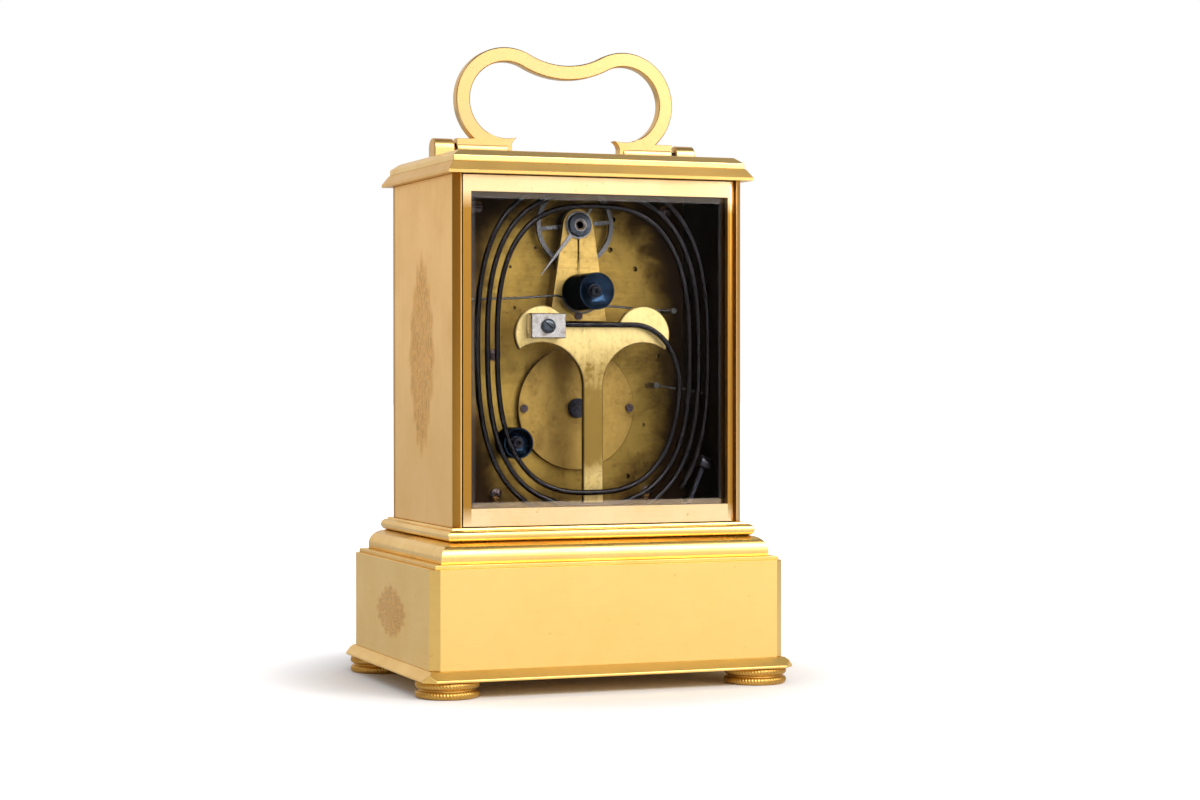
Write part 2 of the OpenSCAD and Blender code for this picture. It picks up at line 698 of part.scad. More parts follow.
// Extra holes in the back plate, for steady pins and the strike side's levers
plain_holes_at = [
    [-19.4, mid.y + 7.1], [-11.8, mid.y + 12.5], [-12.7, mid.y + 21.1], [-6.9, mid.y + 4.4],
    [-17.1, mid.y - 52.5]];
plain_hole_r = 0.75;
hammer_r = 1;
module back_plate() color(brass) difference() {
    plate(back_in);
    for (a = through_arbors) rod(a[0], back_in - 1, plate_back + 1, a[1] + run);
    for (p = plain_holes_at) rod(p, plate_back - 1.5, plate_back + 1, plain_hole_r);
    for (p = pillars_at) rod(p, back_in - 1, plate_back + 1, screw_r);
    for (p = bridge_screws_at) rod(p, back_in, plate_back + 1, screw_r);
    rod(cock_screw_at, back_in, plate_back + 1, screw_r);
    rod(mid, back_in - 1, plate_back + 1, setting_arbor_r + run);
    rod(hammer_at, back_in - 1, plate_back + 1, hammer_r + run);
    rod(balance_at, back_in - 1, plate_back + 1, staff_r + 0.6);
    for (p = [spring_post_at, strike_post_at]) rod(p, back_in, plate_back + 1, 0.8);
}

module plate_pillars() color(brass) for (p = pillars_at) difference() {
    rod(p, front_in, back_in, pillar_r);
    rod(p, back_in - 4, back_in + 1, screw_r);
}

// Plate screws, with those of the barrel bridge and the cock, in one group
module screw(p, y_end, y_seat, head_r, dome) color(steel) at(p, y_end) difference() {
    union() {
        cylinder(r = screw_r, h = y_seat - y_end);
        translate([0, 0, y_seat - y_end]) cylinder(r = head_r, h = 0.7);
        if (dome) translate([0, 0, y_seat - y_end + 0.7]) rotate_extrude() intersection() {
            translate([0, -1.6 * head_r]) circle(r = 2 * head_r - 0.11 * head_r);
            square([head_r, head_r]);
        }
    }
    translate([-head_r - 1, -0.2, y_seat - y_end + 0.35]) cube([2 * head_r + 2, 0.4, 2 * head_r]);
}
module plate_screws() {
    for (p = pillars_at) screw(p, back_in - 3.8, plate_back, screw_head_r, true);
    for (p = bridge_screws_at) screw(p, back_in, bridge_front, small_head_r, false);
    screw(cock_screw_at, back_in, cock_front, small_head_r, false);
}

// Mainspring barrels, one behind the other on one arbor
going_y = front_in + 1.8;
strike_y = back_in - 3.2;
great_module = tooth_module(barrel_at, intermediate_at, great_n, intermediate_leaves);
strike_module = tooth_module(barrel_at, pin_wheel_at, great_n, pin_leaves);

// A closed drum with its great wheel for a floor, growing along +Y or -Y from the wheel
module barrel(y, way, m, phase) at(barrel_at, y) mirror([0, 0, way < 0 ? 1 : 0]) difference() {
    union() {
        linear_extrude(1) gear_outline(great_n, m, false, phase);
        translate([0, 0, 1]) cylinder(r = drum_r, h = drum_h);
    }
    translate([0, 0, 1]) cylinder(r = drum_r - drum_wall, h = drum_h - drum_wall);
    translate([0, 0, -1]) cylinder(r = barrel_arbor_r + run, h = drum_h + 3);
}
module going_barrel() color(brass) barrel(going_y, 1, great_module, 0);

// Mainspring: a flat spiral of seven coils
coils = 7;
coil_points = 20;
spring_t = 0.35;
// Outline of a flat spiral strip: n points to a turn, from radius r0 to r1
function spiral(turns, n, r0, r1, thick) = concat(
    [for (i = [0:turns * n]) (r0 + (r1 - r0) * i / (turns * n) + thick) * [cos(i * 360 / n), sin(i * 360 / n)]],
    [for (i = [turns * n:-1:0]) (r0 + (r1 - r0) * i / (turns * n)) * [cos(i * 360 / n), sin(i * 360 / n)]]);
module going_spring() color(steel) {
    out_r = drum_r - drum_wall - gap - spring_t;
    in_r = barrel_arbor_r + 1.6;
    at(barrel_at, going_y + 1 + gap) linear_extrude(drum_h - drum_wall - 2 * gap)
        polygon(spiral(coils, coil_points, in_r, out_r, spring_t));
}

// The barrel arbor carries the ratchet and winding wheels in front of the front plate
ratchet_y = front_out - 0.4;
winding_y = ratchet_y - 1.4;
winding_module = tooth_module(winding_at, barrel_at, winding_leaves, winding_n);
module barrel_arbor() color(steel) {
    rod(barrel_at, winding_y - 1.5, bridge_front + 0.9, barrel_arbor_r);
    tube(barrel_at, bridge_front + 0.1, bridge_front + 0.9, 2.8, barrel_arbor_r - 0.4);
}
ratchet_r = 6.5;
module ratchet() at(barrel_at, ratchet_y - 1) linear_extrude(1) difference() {
    polygon([for (k = [0:ratchet_n - 1], c = [[ratchet_r, 0], [ratchet_r - 0.9, 1]])
        c[0] * [cos((k + c[1]) * 360 / ratchet_n), sin((k + c[1]) * 360 / ratchet_n)]]);
    circle(r = barrel_arbor_r);
}
module winding_wheel() {
    color(brass) wheel(barrel_at, winding_y - 1.2, 1.2, winding_n, winding_module,
        mesh(winding_at, barrel_at, winding_leaves, winding_n, 0), barrel_arbor_r);
    color(steel) ratchet();
}

// The click stands just clear of the ratchet, on its own stud
module click() color(steel) {
    toward = barrel_at - click_at;
    reach = norm(toward) - ratchet_r - 0.35;
    at(click_at, ratchet_y - 1) linear_extrude(1) rotate(bearing(click_at, barrel_at)) union() {
        circle(r = 1.6);
        polygon([[0, -1], [reach, -0.3], [reach, 0.5], [0, 1.3]]);
    }
    rod(click_at, ratchet_y - eps, front_in - 0.5, 0.6);
}

module winding_arbor() color(steel) {
    rod(winding_at, winding_y - 1.5, winding_knob_end - 2, winding_arbor_r);
    pinion(winding_at, winding_y - 1.2, winding_y, winding_leaves, winding_module, 0, winding_arbor_r - 0.3);
}
// Blued knob with a dished face and a small drilled boss
module knob(p, y0, y1, r, arbor_r, grip) color(blued) at(p, y0) rotate_extrude() polygon([
    [arbor_r, 0], [r - 0.3, 0], [r, 0.3], [r, y1 - y0 - 0.4], [r - 0.3, y1 - y0], [r - 0.7, y1 - y0 - 0.1],
    [0.42 * r, y1 - y0 - 0.8], [0.38 * r, y1 - y0 - 0.3], [0.6, y1 - y0 - 0.3], [0.6, grip], [arbor_r, grip]]);
module winding_knob() knob(winding_at, plate_back + 2, winding_knob_end, winding_knob_r, winding_arbor_r,
    winding_knob_end - 2 - plate_back - 2);

module barrel_bridge() color(brass) difference() {
    tube(barrel_at, plate_back, bridge_front, bridge_r, barrel_arbor_r + run);
    for (p = bridge_screws_at) rod(p, plate_back - 1, bridge_front + 1, screw_r);
}

// Going train, from the barrel up to the escape wheel
centre_module = tooth_module(intermediate_at, mid, intermediate_n, centre_leaves);
third_module = tooth_module(mid, third_at, centre_n, third_leaves);
fourth_module = tooth_module(third_at, fourth_at, third_n, fourth_leaves);
escape_module = tooth_module(fourth_at, escape_at, fourth_n, escape_leaves);
intermediate_y = front_in + 0.3;
centre_y = front_in + 5;
third_y = front_in + 7.2;
fourth_y = front_in + 10;
escape_y = back_in - 2.3;

module intermediate_wheel() color(brass) {
    arbor(intermediate_at, 0.7, 0.5);
    wheel(intermediate_at, intermediate_y, 0.9, intermediate_n, centre_module, 0, 0.5);
    pinion(intermediate_at, intermediate_y + 0.9, going_y + 1.3, intermediate_leaves, great_module,
        mesh(barrel_at, intermediate_at, great_n, intermediate_leaves, 0), 0.5);
}
module centre_wheel() color(brass) {
    bore = setting_arbor_r + run;
    phase = mesh(intermediate_at, mid, intermediate_n, centre_leaves, 0);
    pinion(mid, front_in + 0.2, intermediate_y + 1.2, centre_leaves, centre_module, phase, bore);
    tube(mid, intermediate_y + 1.2, back_in - 0.2, bore + 0.7, bore);
    wheel(mid, centre_y, 0.9, centre_n, third_module, 0, bore + 0.3);
}
module third_wheel() color(brass) {
    arbor(third_at, 0.5, 0.45);
    pinion(third_at, centre_y - 0.4, centre_y + 1.3, third_leaves, third_module,
        mesh(mid, third_at, centre_n, third_leaves, 0), 0.4);
    wheel(third_at, third_y, 0.8, third_n, fourth_module, 0, 0.4);
}
module fourth_wheel() color(brass) {
    arbor(fourth_at, 0.45, 0.4);
    pinion(fourth_at, third_y - 0.4, third_y + 1.2, fourth_leaves, fourth_module,
        mesh(third_at, fourth_at, third_n, fourth_leaves, 0), 0.4);
    wheel(fourth_at, fourth_y, 0.8, fourth_n, escape_module, 0, 0.4);
}
escape_r = 4.4;
module escape_wheel() color(steel) {
    arbor(escape_at, 0.4, 0.35);
    pinion(escape_at, fourth_y - 0.4, fourth_y + 1.2, escape_leaves, escape_module,
        mesh(fourth_at, escape_at, fourth_n, escape_leaves, 0), 0.35);
    // Fifteen pointed teeth, raked forward
    at(escape_at, escape_y) linear_extrude(0.7) difference() {
        polygon([for (k = [0:escape_n - 1], c = [[escape_r, 0], [escape_r - 1.6, 2], [escape_r - 1.6, 17]])
            c[0] * [cos(k * 360 / escape_n + c[1]), sin(k * 360 / escape_n + c[1])]]);
        circle(r = 0.35);
    }
}

// Lever: fork towards the balance, two pallet arms astride the escape wheel
module pallet_lever() color(steel) {
    fork = span(lever_at, balance_at) - roller_pin_r - 0.8;
    arbor(lever_at, 0.4, 0.35);
    at(lever_at, escape_y - 0.1) linear_extrude(0.9) rotate(bearing(lever_at, balance_at)) {
        difference() {
            translate([0, -0.6]) square([fork, 1.2]);
            translate([fork - 1, -0.25]) square([2, 0.5]);
        }
        circle(r = 1.1);
        for (s = [-1, 1]) rotate(180 + s * 38) {
            translate([0, -0.45]) square([6.4, 0.9]);
            translate([5.5, -0.45 - 0.35 * s]) square([0.9, 0.9]);
        }
    }
}

// Balance: two-armed ring on a staff through the back plate, under the cock
staff_r = 0.5;
roller_pin_r = 1.4;
balance_y = plate_back + 1.7;
potence_y = back_in - 4.8;
module balance() color(steel) {
    arm_w = 1.1;
    rod(balance_at, potence_y + 0.5, cock_front - 0.3, 0.3);
    rod(balance_at, potence_y + 1 + gap, cock_front - cock_arm_t - gap, staff_r);
    at(balance_at, balance_y) linear_extrude(balance_t) difference() {
        circle(r = balance_r);
        circle(r = balance_r - balance_rim);
    }
    at(balance_at, balance_y + 0.2) linear_extrude(balance_t - 0.4) {
        circle(r = 1.5);
        rotate(6) square([2 * balance_r - balance_rim, arm_w], center = true);
    }
    rod(balance_at, escape_y - 0.9, escape_y - 0.4, 2.1);
    rod(balance_at + roller_pin_r * [cos(bearing(balance_at, lever_at)), -sin(bearing(balance_at, lever_at))],
        escape_y - 0.5, escape_y + 0.6, 0.2);
    balance_spring();
}
// Balance spring: a flat spiral between the balance and the plate, on its collet
hair_t = 0.15;
module balance_spring() color(blued) {
    at(balance_at, plate_back + 0.5) linear_extrude(0.6) polygon(spiral(5, 24, 1.2, 4.8, hair_t));
    // Collet that grips the staff
    tube(balance_at, plate_back + 0.5, plate_back + 1.1, 1.25, staff_r);
}

// Cock: a thick foot screwed to the plate, and an arm over the balance
cock_foot_high = balance_at.y - balance_r - 1;
function edge(z) = 4.6 + 0.145 * (balance_at.y - z);
module balance_cock() color(brass) {
    low = mid.y - 8.2;
    cock_outline = [[edge(low), low], [edge(balance_at.y), balance_at.y], [-edge(balance_at.y), balance_at.y],
        [-edge(low), low]];
    difference() {
        union() {
            intersection() {
                translate([0, cock_front, 0]) rotate([90, 0, 0]) linear_extrude(cock_front - plate_back)
                    polygon(cock_outline);
                translate([-20, plate_back, low]) cube([40, cock_front - plate_back, cock_foot_high - low]);
            }
            translate([0, cock_front, 0]) rotate([90, 0, 0]) linear_extrude(cock_arm_t) polygon(cock_outline);
            rod(balance_at, cock_front - cock_arm_t, cock_front, edge(balance_at.y));
        }
        rod(balance_at, cock_front - cock_arm_t - 1, cock_front + 1, 0.3 + run);
        rod(mid, plate_back - 1, cock_front + 1, setting_arbor_r + run);
        rod(cock_screw_at, plate_back - 1, cock_front + 1, screw_r);
    }
    // Potence inside the plate, for the staff's inner pivot
    difference() {
        union() {
            translate([-9, potence_y, balance_at.y - 1.6]) cube([9, 1, 3.2]);
            translate([-9, potence_y, balance_at.y - 1.6]) cube([3, back_in - potence_y, 3.2]);
            rod(balance_at, potence_y, potence_y + 1, 1.6);
        }
        rod(balance_at, potence_y - 1, potence_y + 2, 0.3 + run);
    }
}

// The cap's boss holds the regulator's ring against the cock
index_t = 0.6;
index_y = cock_front + 0.05;
module cock_cap() color(steel) at(balance_at, cock_front) difference() {
    rotate_extrude() polygon([
        [0.4, 0.2], [2.4, 0], [2.4, index_t + 0.1], [cap_r, index_t + 0.1], [cap_r, index_t + 0.9],
        [cap_r - 0.4, index_t + 1.2], [1.9, index_t + 1.2], [1.5, index_t + 0.8], [0.4, index_t + 0.8]]);
    translate([0, 0, -1]) cylinder(r = 0.42, h = 5);
}
module regulator() color(steel) at(balance_at, index_y) linear_extrude(index_t) difference() {
    union() {
        circle(r = index_r);
        // Long tail down to the left of the cock, short one up to the right
        rotate(51.4) polygon([[0, -0.75], [index_len, -0.12], [index_len, 0.12], [0, 0.75]]);
        rotate(51.4 + 180) translate([0, -0.3]) square([index_r + 2.8, 0.6]);
    }
    circle(r = 2.4 + run);
}

// Hand-setting arbor through the whole movement, with the big blued knob on its end
module setting_arbor() color(steel) rod(mid, minute_y - 0.4, setting_knob_end - 6, setting_arbor_r);
module setting_knob() knob(mid, cock_front + 0.4, setting_knob_end, setting_knob_r, setting_arbor_r,
    setting_knob_end - 6 - cock_front - 0.4);

// Spring wires on the back plate: one bears under the setting knob, the other belongs to the strike
wire_r = 0.35;
wire_y = cock_front + wire_r + 0.34 * (stand_front - stand_t - cock_front - 2 * wire_r);
spring_post_at = [-28, mid.y - 5];
strike_wire_y = plate_back + 6;
strike_post_at = [-23.4, mid.y - 26.3];
module plate_springs() color(steel) {
    bend = setting_knob_r + gap + wire_r;
    swept(concat(
        [spring_post_at, [mid.x - 19, mid.y - 4.8], [mid.x - 9.5, mid.y - 3.9]],
        [for (a = [225:15:345]) mid + bend * [cos(a), sin(a)]],
        [[mid.x + 7.6, mid.y - 1], [mid.x + 20, mid.y - 1.9], [inner_x - 3.8, mid.y - 2.4]]),
        wire_y, wire_r, 8);
    rod(spring_post_at, back_in, wire_y + 0.8, 0.8);
    swept(concat([strike_post_at], [for (p = [[5.2, 0.9], [9.2, 1.1]]) strike_post_at - p],
        [[1.3 - inner_x, strike_post_at.y - 2.4]]), strike_wire_y, wire_r, 8);
    rod(strike_post_at, back_in, strike_wire_y + 0.8, 0.8);
}

// Strike side: barrel, pin wheel, warning wheel and fly
module strike_barrel() color(brass) {
    barrel(strike_y + 1, -1, strike_module, 0);
    // Its mainspring, drawn as the outermost coils at rest against the wall
    tube(barrel_at, strike_y - drum_h + drum_wall + gap, strike_y - gap, drum_r - drum_wall - gap, drum_r - 4);
}
warning_module = tooth_module(pin_wheel_at, warning_at, pin_n, warning_leaves);
fly_module = tooth_module(warning_at, fly_at, warning_n, fly_leaves);
pin_y = strike_y + 1.8;
pin_ring_r = 8.6;
lift_pin_r = 0.35;
warning_y = front_in + 11.5;
module pin_wheel() color(brass) {
    arbor(pin_wheel_at, 0.7, 0.5);
    pinion(pin_wheel_at, strike_y - 0.4, pin_y, pin_leaves, strike_module,
        mesh(barrel_at, pin_wheel_at, great_n, pin_leaves, 0), 0.5);
    wheel(pin_wheel_at, pin_y, 0.7, pin_n, warning_module, 0, 0.5, 2.6);
    // Eight pins that lift the hammer
    for (k = [0:7])
        rod(pin_wheel_at + pin_ring_r * [cos(k * 45), sin(k * 45)], pin_y - 0.8, pin_y + 0.1, lift_pin_r);
}
module warning_wheel() color(brass) {
    arbor(warning_at, 0.5, 0.45);
    pinion(warning_at, pin_y - 0.4, pin_y + 1.1, warning_leaves, warning_module,
        mesh(pin_wheel_at, warning_at, pin_n, warning_leaves, 0), 0.4);
    wheel(warning_at, warning_y, 0.8, warning_n, fly_module, 0, 0.4);
}
module strike_fly() color(brass) {
    arbor(fly_at, 0.45, 0.4);
    pinion(fly_at, warning_y - 0.4, warning_y + 1.2, fly_leaves, fly_module,
        mesh(warning_at, fly_at, warning_n, fly_leaves, 0), 0.4);
    translate([fly_at.x - 4.5, warning_y + 2, fly_at.y - 0.2]) cube([9, 4, 0.4]);
}

// Hammer on a long arbor, striking the gong's outer turn from its lower corner
hammer_reach = [-5.4, 12.9];
hammer_head_r = 1.9;
module hammer() color(steel) {
    head = hammer_at + hammer_reach;
    rod(hammer_at, front_in - 1.5, back_in - 1, hammer_r / 2);
    rod(hammer_at, back_in - 1, gong_y + 1, hammer_r);
    rod(hammer_at, gong_y - 1, gong_y + 1, 2 * hammer_r);
    at(hammer_at, gong_y - 0.6) linear_extrude(1.2) rotate(bearing(hammer_at, head))
        translate([0, -0.5]) square([norm(hammer_reach), 1]);
    // The head lies across the arm, so that its end face meets the wire
    translate([head.x, gong_y, head.y]) rotate([0, -atan2(hammer_reach.y, hammer_reach.x), 0])
        cylinder(r = hammer_head_r, h = 3.4, center = true);
    // Tail that the pins lift, between the plates
    rod(hammer_at, pin_y - 1.7, pin_y, 1.8);
    at(hammer_at, pin_y - 1.2) linear_extrude(0.8) rotate(bearing(hammer_at, pin_wheel_at))
        translate([0, -0.6]) square([span(hammer_at, pin_wheel_at) - pin_ring_r - lift_pin_r - gap, 1.2]);
}

// Gong stand: a T with two round lobes, hollowed under its arms, screwed to the case floor
stem_x = -1.1;
stem_half = 2.9;
lobe_x = 15.2;
lobe_z = mid.y - 11.9;
bar_z = mid.y - 8.6;
arch_r = 12.3;
arch_z = mid.y - 26.6;
module gong_stand() color(brass) difference() {
    union() {
        translate([stem_x, stand_front, 0]) rotate([90, 0, 0]) linear_extrude(stand_t) difference() {
            union() {
                for (s = [-1, 1]) translate([s * lobe_x, lobe_z]) circle(r = lobe_r);
                translate([-lobe_x, arch_z]) square([2 * lobe_x, bar_z - arch_z]);
                translate([-stem_half, floor_top]) square([2 * stem_half, lobe_z - floor_top]);
            }
            // Arches that meet the stem and run out under the lobes
            for (s = [-1, 1]) translate([s * (stem_half + arch_r), arch_z]) circle(r = arch_r);
        }
        translate([stem_x - stem_half, stand_front - 8, floor_top]) cube([2 * stem_half, 8, 2.5]);
    }
    rod([block_at.x, block_at.y], stand_front - stand_t - 1, stand_front + 1, screw_r);
    translate([stem_x, stand_front - 5, floor_top - 1]) cylinder(r = screw_r, h = 5);
}

// Steel block that grips the gong's inner end, and its domed screw
block_at = [13.6, mid.y - 9.7];
module gong_block() {
    color(steel) difference() {
        translate([block_at.x - block_w / 2, stand_front, block_at.y - block_h / 2])
            cube([block_w, block_t, block_h]);
        rod(block_at, stand_front - 1, stand_front + block_t + 1, screw_r);
    }
    screw(block_at, stand_front - stand_t + 0.3, stand_front + block_t, 2.05, true);
}

// Gong: one wire, straight out of the block, round a quarter ellipse, then an opening spiral
gong_sides = 6;
rings_per_turn = 24;
gong_z = mid.y - 16.2;
squareness = 2.7;
join_z = gong_z - 10;
lead_x = -12.6;
function signed_pow(v, p) = sign(v) * pow(abs(v), p);
function turn_point(u) = let (c = cos(360 * u), s = sin(360 * u),
    w = gong_half_w + gong_step_side * u,
    h = gong_half_h + (s > 0 ? gong_step_low * (u - 0.25) : gong_step_top * (u - 0.75)))
    [-w * signed_pow(c, 2 / squareness), gong_z - h * signed_pow(s, 2 / squareness)];
// Share of a turn at which the spiral passes the end of the lead
join_u = asin(pow(10 / gong_half_h, squareness / 2)) / 360;
join_x = turn_point(join_u).x;
lead_z = block_at.y + 0.4;
gong_tip = turn_point(gong_turns);
function unit(v) = v / norm(v);
gong_line = concat(
    [[block_at.x - block_w / 2, lead_z], [block_at.x - block_w / 2 - 2 * gong_wire, lead_z], [-5, lead_z]],
    [for (a = [90:-15:15]) [lead_x + (join_x - lead_x) * cos(a), join_z + (lead_z - join_z) * sin(a)]],
    [turn_point(join_u)],
    [for (i = [1:floor(gong_turns * rings_per_turn)]) turn_point(i / rings_per_turn)],
    [gong_tip, gong_tip + gong_wire * unit(
        gong_tip - turn_point(floor(gong_turns * rings_per_turn) / rings_per_turn))]);

// Least distance between two stretches of wire that aren't neighbours, less the wire's diameter
function to_segment(p, a, b) =
    let (t = max(0, min(1, (p - a) * (b - a) / ((b - a) * (b - a))))) norm(p - a - t * (b - a));
gong_gap = min([for (i = [0:len(gong_line) - 1], j = [0:len(gong_line) - 2])
    if (abs(i - j - 0.5) > 4) to_segment(gong_line[i], gong_line[j], gong_line[j + 1])]) - gong_wire;
echo(least_gap_of_the_gong_to_itself = gong_gap);

// A tube swept along a flat line in the XZ plane
module swept(line, y, r, sides) {
    count = len(line);
    function along(i) = unit(line[min(i + 1, count - 1)] - line[max(i - 1, 0)]);
    points = [for (i = [0:count - 1], k = [0:sides - 1])
        let (d = along(i), a = (k + 0.5) * 360 / sides, side = [-d.y, d.x] * r * cos(a))
        [line[i].x + side.x, y + r * sin(a), line[i].y + side.y]];
    faces = concat(
        [[for (k = [sides - 1:-1:0]) k]],
        [for (i = [0:count - 2], k = [0:sides - 1], half = [0, 1])
            let (a = i * sides + k, b = i * sides + (k + 1) % sides)
            half == 0 ? [a, b, a + sides] : [b, b + sides, a + sides]],
        [[for (k = [0:sides - 1]) (count - 1) * sides + k]]);
    polyhedron(points, faces);
}
module gong() color(blued) swept(gong_line, gong_y, gong_wire / 2, gong_sides);

feet();
base_slab();
plinth_box();
plinth_step();
lower_moulding();
upper_moulding();
case_floor();
case_rods();
left_wall();
right_wall();
cornice();
roof();
handle_knuckles();
handle();
handle_pins();
back_door();
back_glass();
back_door_pins();
front_frame();
front_glass();
dial();
dial_mask();
minute_hand();
hour_hand();
cannon_pinion();
minute_wheel();
hour_wheel();
front_plate();
back_plate();
plate_pillars();
plate_screws();
going_barrel();
going_spring();
barrel_arbor();
winding_wheel();
click();
winding_arbor();
winding_knob();
barrel_bridge();
intermediate_wheel();
centre_wheel();
third_wheel();
fourth_wheel();
escape_wheel();
pallet_lever();
balance();
balance_cock();
cock_cap();
regulator();
setting_arbor();
setting_knob();
plate_springs();
strike_barrel();
pin_wheel();
warning_wheel();
strike_fly();
hammer();
gong_stand();
gong_block();
gong();
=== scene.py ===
import math
import bmesh
import bpy
from mathutils import Matrix, Vector


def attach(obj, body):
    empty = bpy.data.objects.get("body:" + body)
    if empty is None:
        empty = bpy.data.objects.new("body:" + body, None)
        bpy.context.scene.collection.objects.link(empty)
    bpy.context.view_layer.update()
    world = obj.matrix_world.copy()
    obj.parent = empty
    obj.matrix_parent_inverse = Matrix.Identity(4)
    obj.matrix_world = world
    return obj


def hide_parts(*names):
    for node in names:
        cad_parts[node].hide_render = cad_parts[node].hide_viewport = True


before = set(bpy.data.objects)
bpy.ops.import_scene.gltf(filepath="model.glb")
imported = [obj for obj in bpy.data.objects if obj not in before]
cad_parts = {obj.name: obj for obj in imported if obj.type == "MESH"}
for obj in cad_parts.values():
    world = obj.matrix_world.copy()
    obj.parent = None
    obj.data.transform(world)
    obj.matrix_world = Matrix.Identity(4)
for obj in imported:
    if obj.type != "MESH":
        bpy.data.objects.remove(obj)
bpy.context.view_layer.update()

# The camera stands behind the clock and a little to its left, level with the middle of the case,
# far enough away for the upright edges to stay nearly parallel.
camera = bpy.data.objects.new("camera", bpy.data.cameras.new("camera"))
bpy.context.scene.collection.objects.link(camera)
camera.data.sensor_width = 36
camera.data.lens = 76.353
back = Vector((0.36000474, 0.93288938, 0.01067685)).normalized()
across = Vector((-0.932942, 0.360027, -0.000214)).normalized()
upward = back.cross(across)
camera.matrix_world = Matrix((
    (across.x, upward.x, back.x, 0.25397),
    (across.y, upward.y, back.y, 0.68674),
    (across.z, upward.z, back.z, 0.08744),
    (0, 0, 0, 1)))
bpy.context.scene.camera = camera
bpy.context.scene.view_settings.view_transform = "Standard"


# The studio is a white sweep of paper in a pale tent, with two large soft lamps. The camera sees
# plain white, and the metal also meets the tent's darker wings and its dark ceiling.
class Tone:
    """A socket of a shader, with the arithmetic that its maths needs."""

    def __init__(self, tree, socket=None):
        self.tree = tree
        self.socket = socket

    def join(self, socket, value):
        if isinstance(value, Tone):
            self.tree.links.new(value.socket, socket)
        else:
            socket.default_value = value

    def node(self, kind, inputs=(), out=0, stops=(), **settings):
        """Any node: its type, its sockets' values or links, the output wanted, and its settings."""
        made = self.tree.nodes.new("ShaderNode" + kind)
        for key, value in settings.items():
            setattr(made, key, value)
        for i, (place, colour) in enumerate(stops):
            elements = made.color_ramp.elements
            if i == 0:
                stop = elements[0]
            elif i == len(stops) - 1:
                stop = elements[-1]
            else:
                stop = elements.new(place)
            stop.position = place
            stop.color = colour
        for key, value in dict(inputs).items():
            self.join(made.inputs[key], value)
        return Tone(self.tree, made.outputs[out])

    def maths(self, operation, *values):
        return self.node("Math", enumerate(values), operation=operation)

    def blend(self, factor, first, second):
        """A colour between two others."""
        return self.node("Mix", {"Factor": factor, 6: first, 7: second}, out=2, data_type="RGBA")

    def scaled(self, value, low, high, start=0.0, end=1.0, kind="LINEAR"):
        """A value from one range taken to another, and held at that one's ends."""
        limits = {"Value": value, 1: low, 2: high, 3: start, 4: end}
        return self.node("MapRange", limits, clamp=True, interpolation_type=kind)

    def part(self, vector, axis):
        """One of the three numbers of a vector."""
        return self.node("SeparateXYZ", {0: vector}, out=axis)

    def __add__(self, other):
        return self.maths("ADD", self, other)

    def __radd__(self, other):
        return self.maths("ADD", other, self)

    def __sub__(self, other):
        return self.maths("SUBTRACT", self, other)

    def __rsub__(self, other):
        return self.maths("SUBTRACT", other, self)

    def __mul__(self, other):
        return self.maths("MULTIPLY", self, other)

    def __rmul__(self, other):
        return self.maths("MULTIPLY", other, self)

    def __truediv__(self, other):
        return self.maths("DIVIDE", self, other)

    def __pow__(self, other):
        return self.maths("POWER", self, other)


world = bpy.data.worlds.new("studio")
bpy.context.scene.world = world
world.use_nodes = True
sky = Tone(world.node_tree)
direction = sky.node("TexCoord", out="Generated")
wings = sky.scaled(sky.maths("ABSOLUTE", sky.part(direction, 0)), 0.55, 0.90, kind="SMOOTHSTEP")
depth = sky.scaled(sky.part(direction, 1), -0.35, 0.55, kind="SMOOTHSTEP")
ceiling = sky.scaled(sky.part(direction, 2), 0.70, 0.90, kind="SMOOTHSTEP")
tent = sky.blend(depth, (0.84, 0.78, 0.74, 1), (1.0, 0.99, 1.02, 1))
tent = sky.blend(wings, tent, (0.45, 0.345, 0.225, 1))
tent = sky.blend(ceiling, tent, (0.14, 0.13, 0.11, 1))
scattered = sky.node("LightPath", out="Is Diffuse Ray")
room = sky.blend(scattered, tent, (0.45, 0.45, 0.47, 1))
shown = sky.blend(sky.node("LightPath", out="Is Camera Ray"), room, (1, 1, 1, 1))
sky.join(world.node_tree.nodes["Background"].inputs["Color"], shown)


def lamp(name, place, target, size, power, colour):
    """A rectangular soft lamp that looks at a point."""
    data = bpy.data.lights.new(name, "AREA")
    data.shape = "RECTANGLE"
    data.size, data.size_y = size
    data.energy = power
    data.color = colour
    made = bpy.data.objects.new(name, data)
    bpy.context.scene.collection.objects.link(made)
    made.location = place
    made.rotation_euler = (Vector(target) - Vector(place)).to_track_quat("-Z", "Y").to_euler()


lamp("top_lamp", (-0.15, 0.80, 0.72), (0, 0, 0.08), (1.2, 0.46), 9.0, (1, 0.985, 0.96))
lamp("right_lamp", (-0.62, 0.85, 0.42), (0, 0, 0.09), (0.4, 0.5), 1.6, (1, 0.99, 0.97))

floor = bpy.data.objects.new("floor", bpy.data.meshes.new("floor"))
floor.data.from_pydata([(-6, -6, 0), (6, -6, 0), (6, 6, 0), (-6, 6, 0)], [], [(0, 1, 2, 3)])
bpy.context.scene.collection.objects.link(floor)
paper = bpy.data.materials.new("sweep_paper")
paper.use_nodes = True
sweep = Tone(paper.node_tree)
paper_shader = paper.node_tree.nodes["Principled BSDF"]
paper_shader.inputs["Base Color"].default_value = (0.88, 0.88, 0.89, 1)
paper_shader.inputs["Roughness"].default_value = 0.9
paper_shader.inputs["Specular IOR Level"].default_value = 0.1
paper_shader.inputs["Emission Color"].default_value = (1, 1, 1, 1)
floor_place = sweep.node("TexCoord", out="Object")
distance = sweep.node("VectorMath", {0: floor_place}, out="Value", operation="LENGTH")
far_away = sweep.scaled(distance, 0.05, 0.14, kind="SMOOTHSTEP")
glow = sweep.node("LightPath", out="Is Camera Ray") * far_away
sweep.join(paper_shader.inputs["Emission Strength"], glow)
floor.data.materials.append(paper)


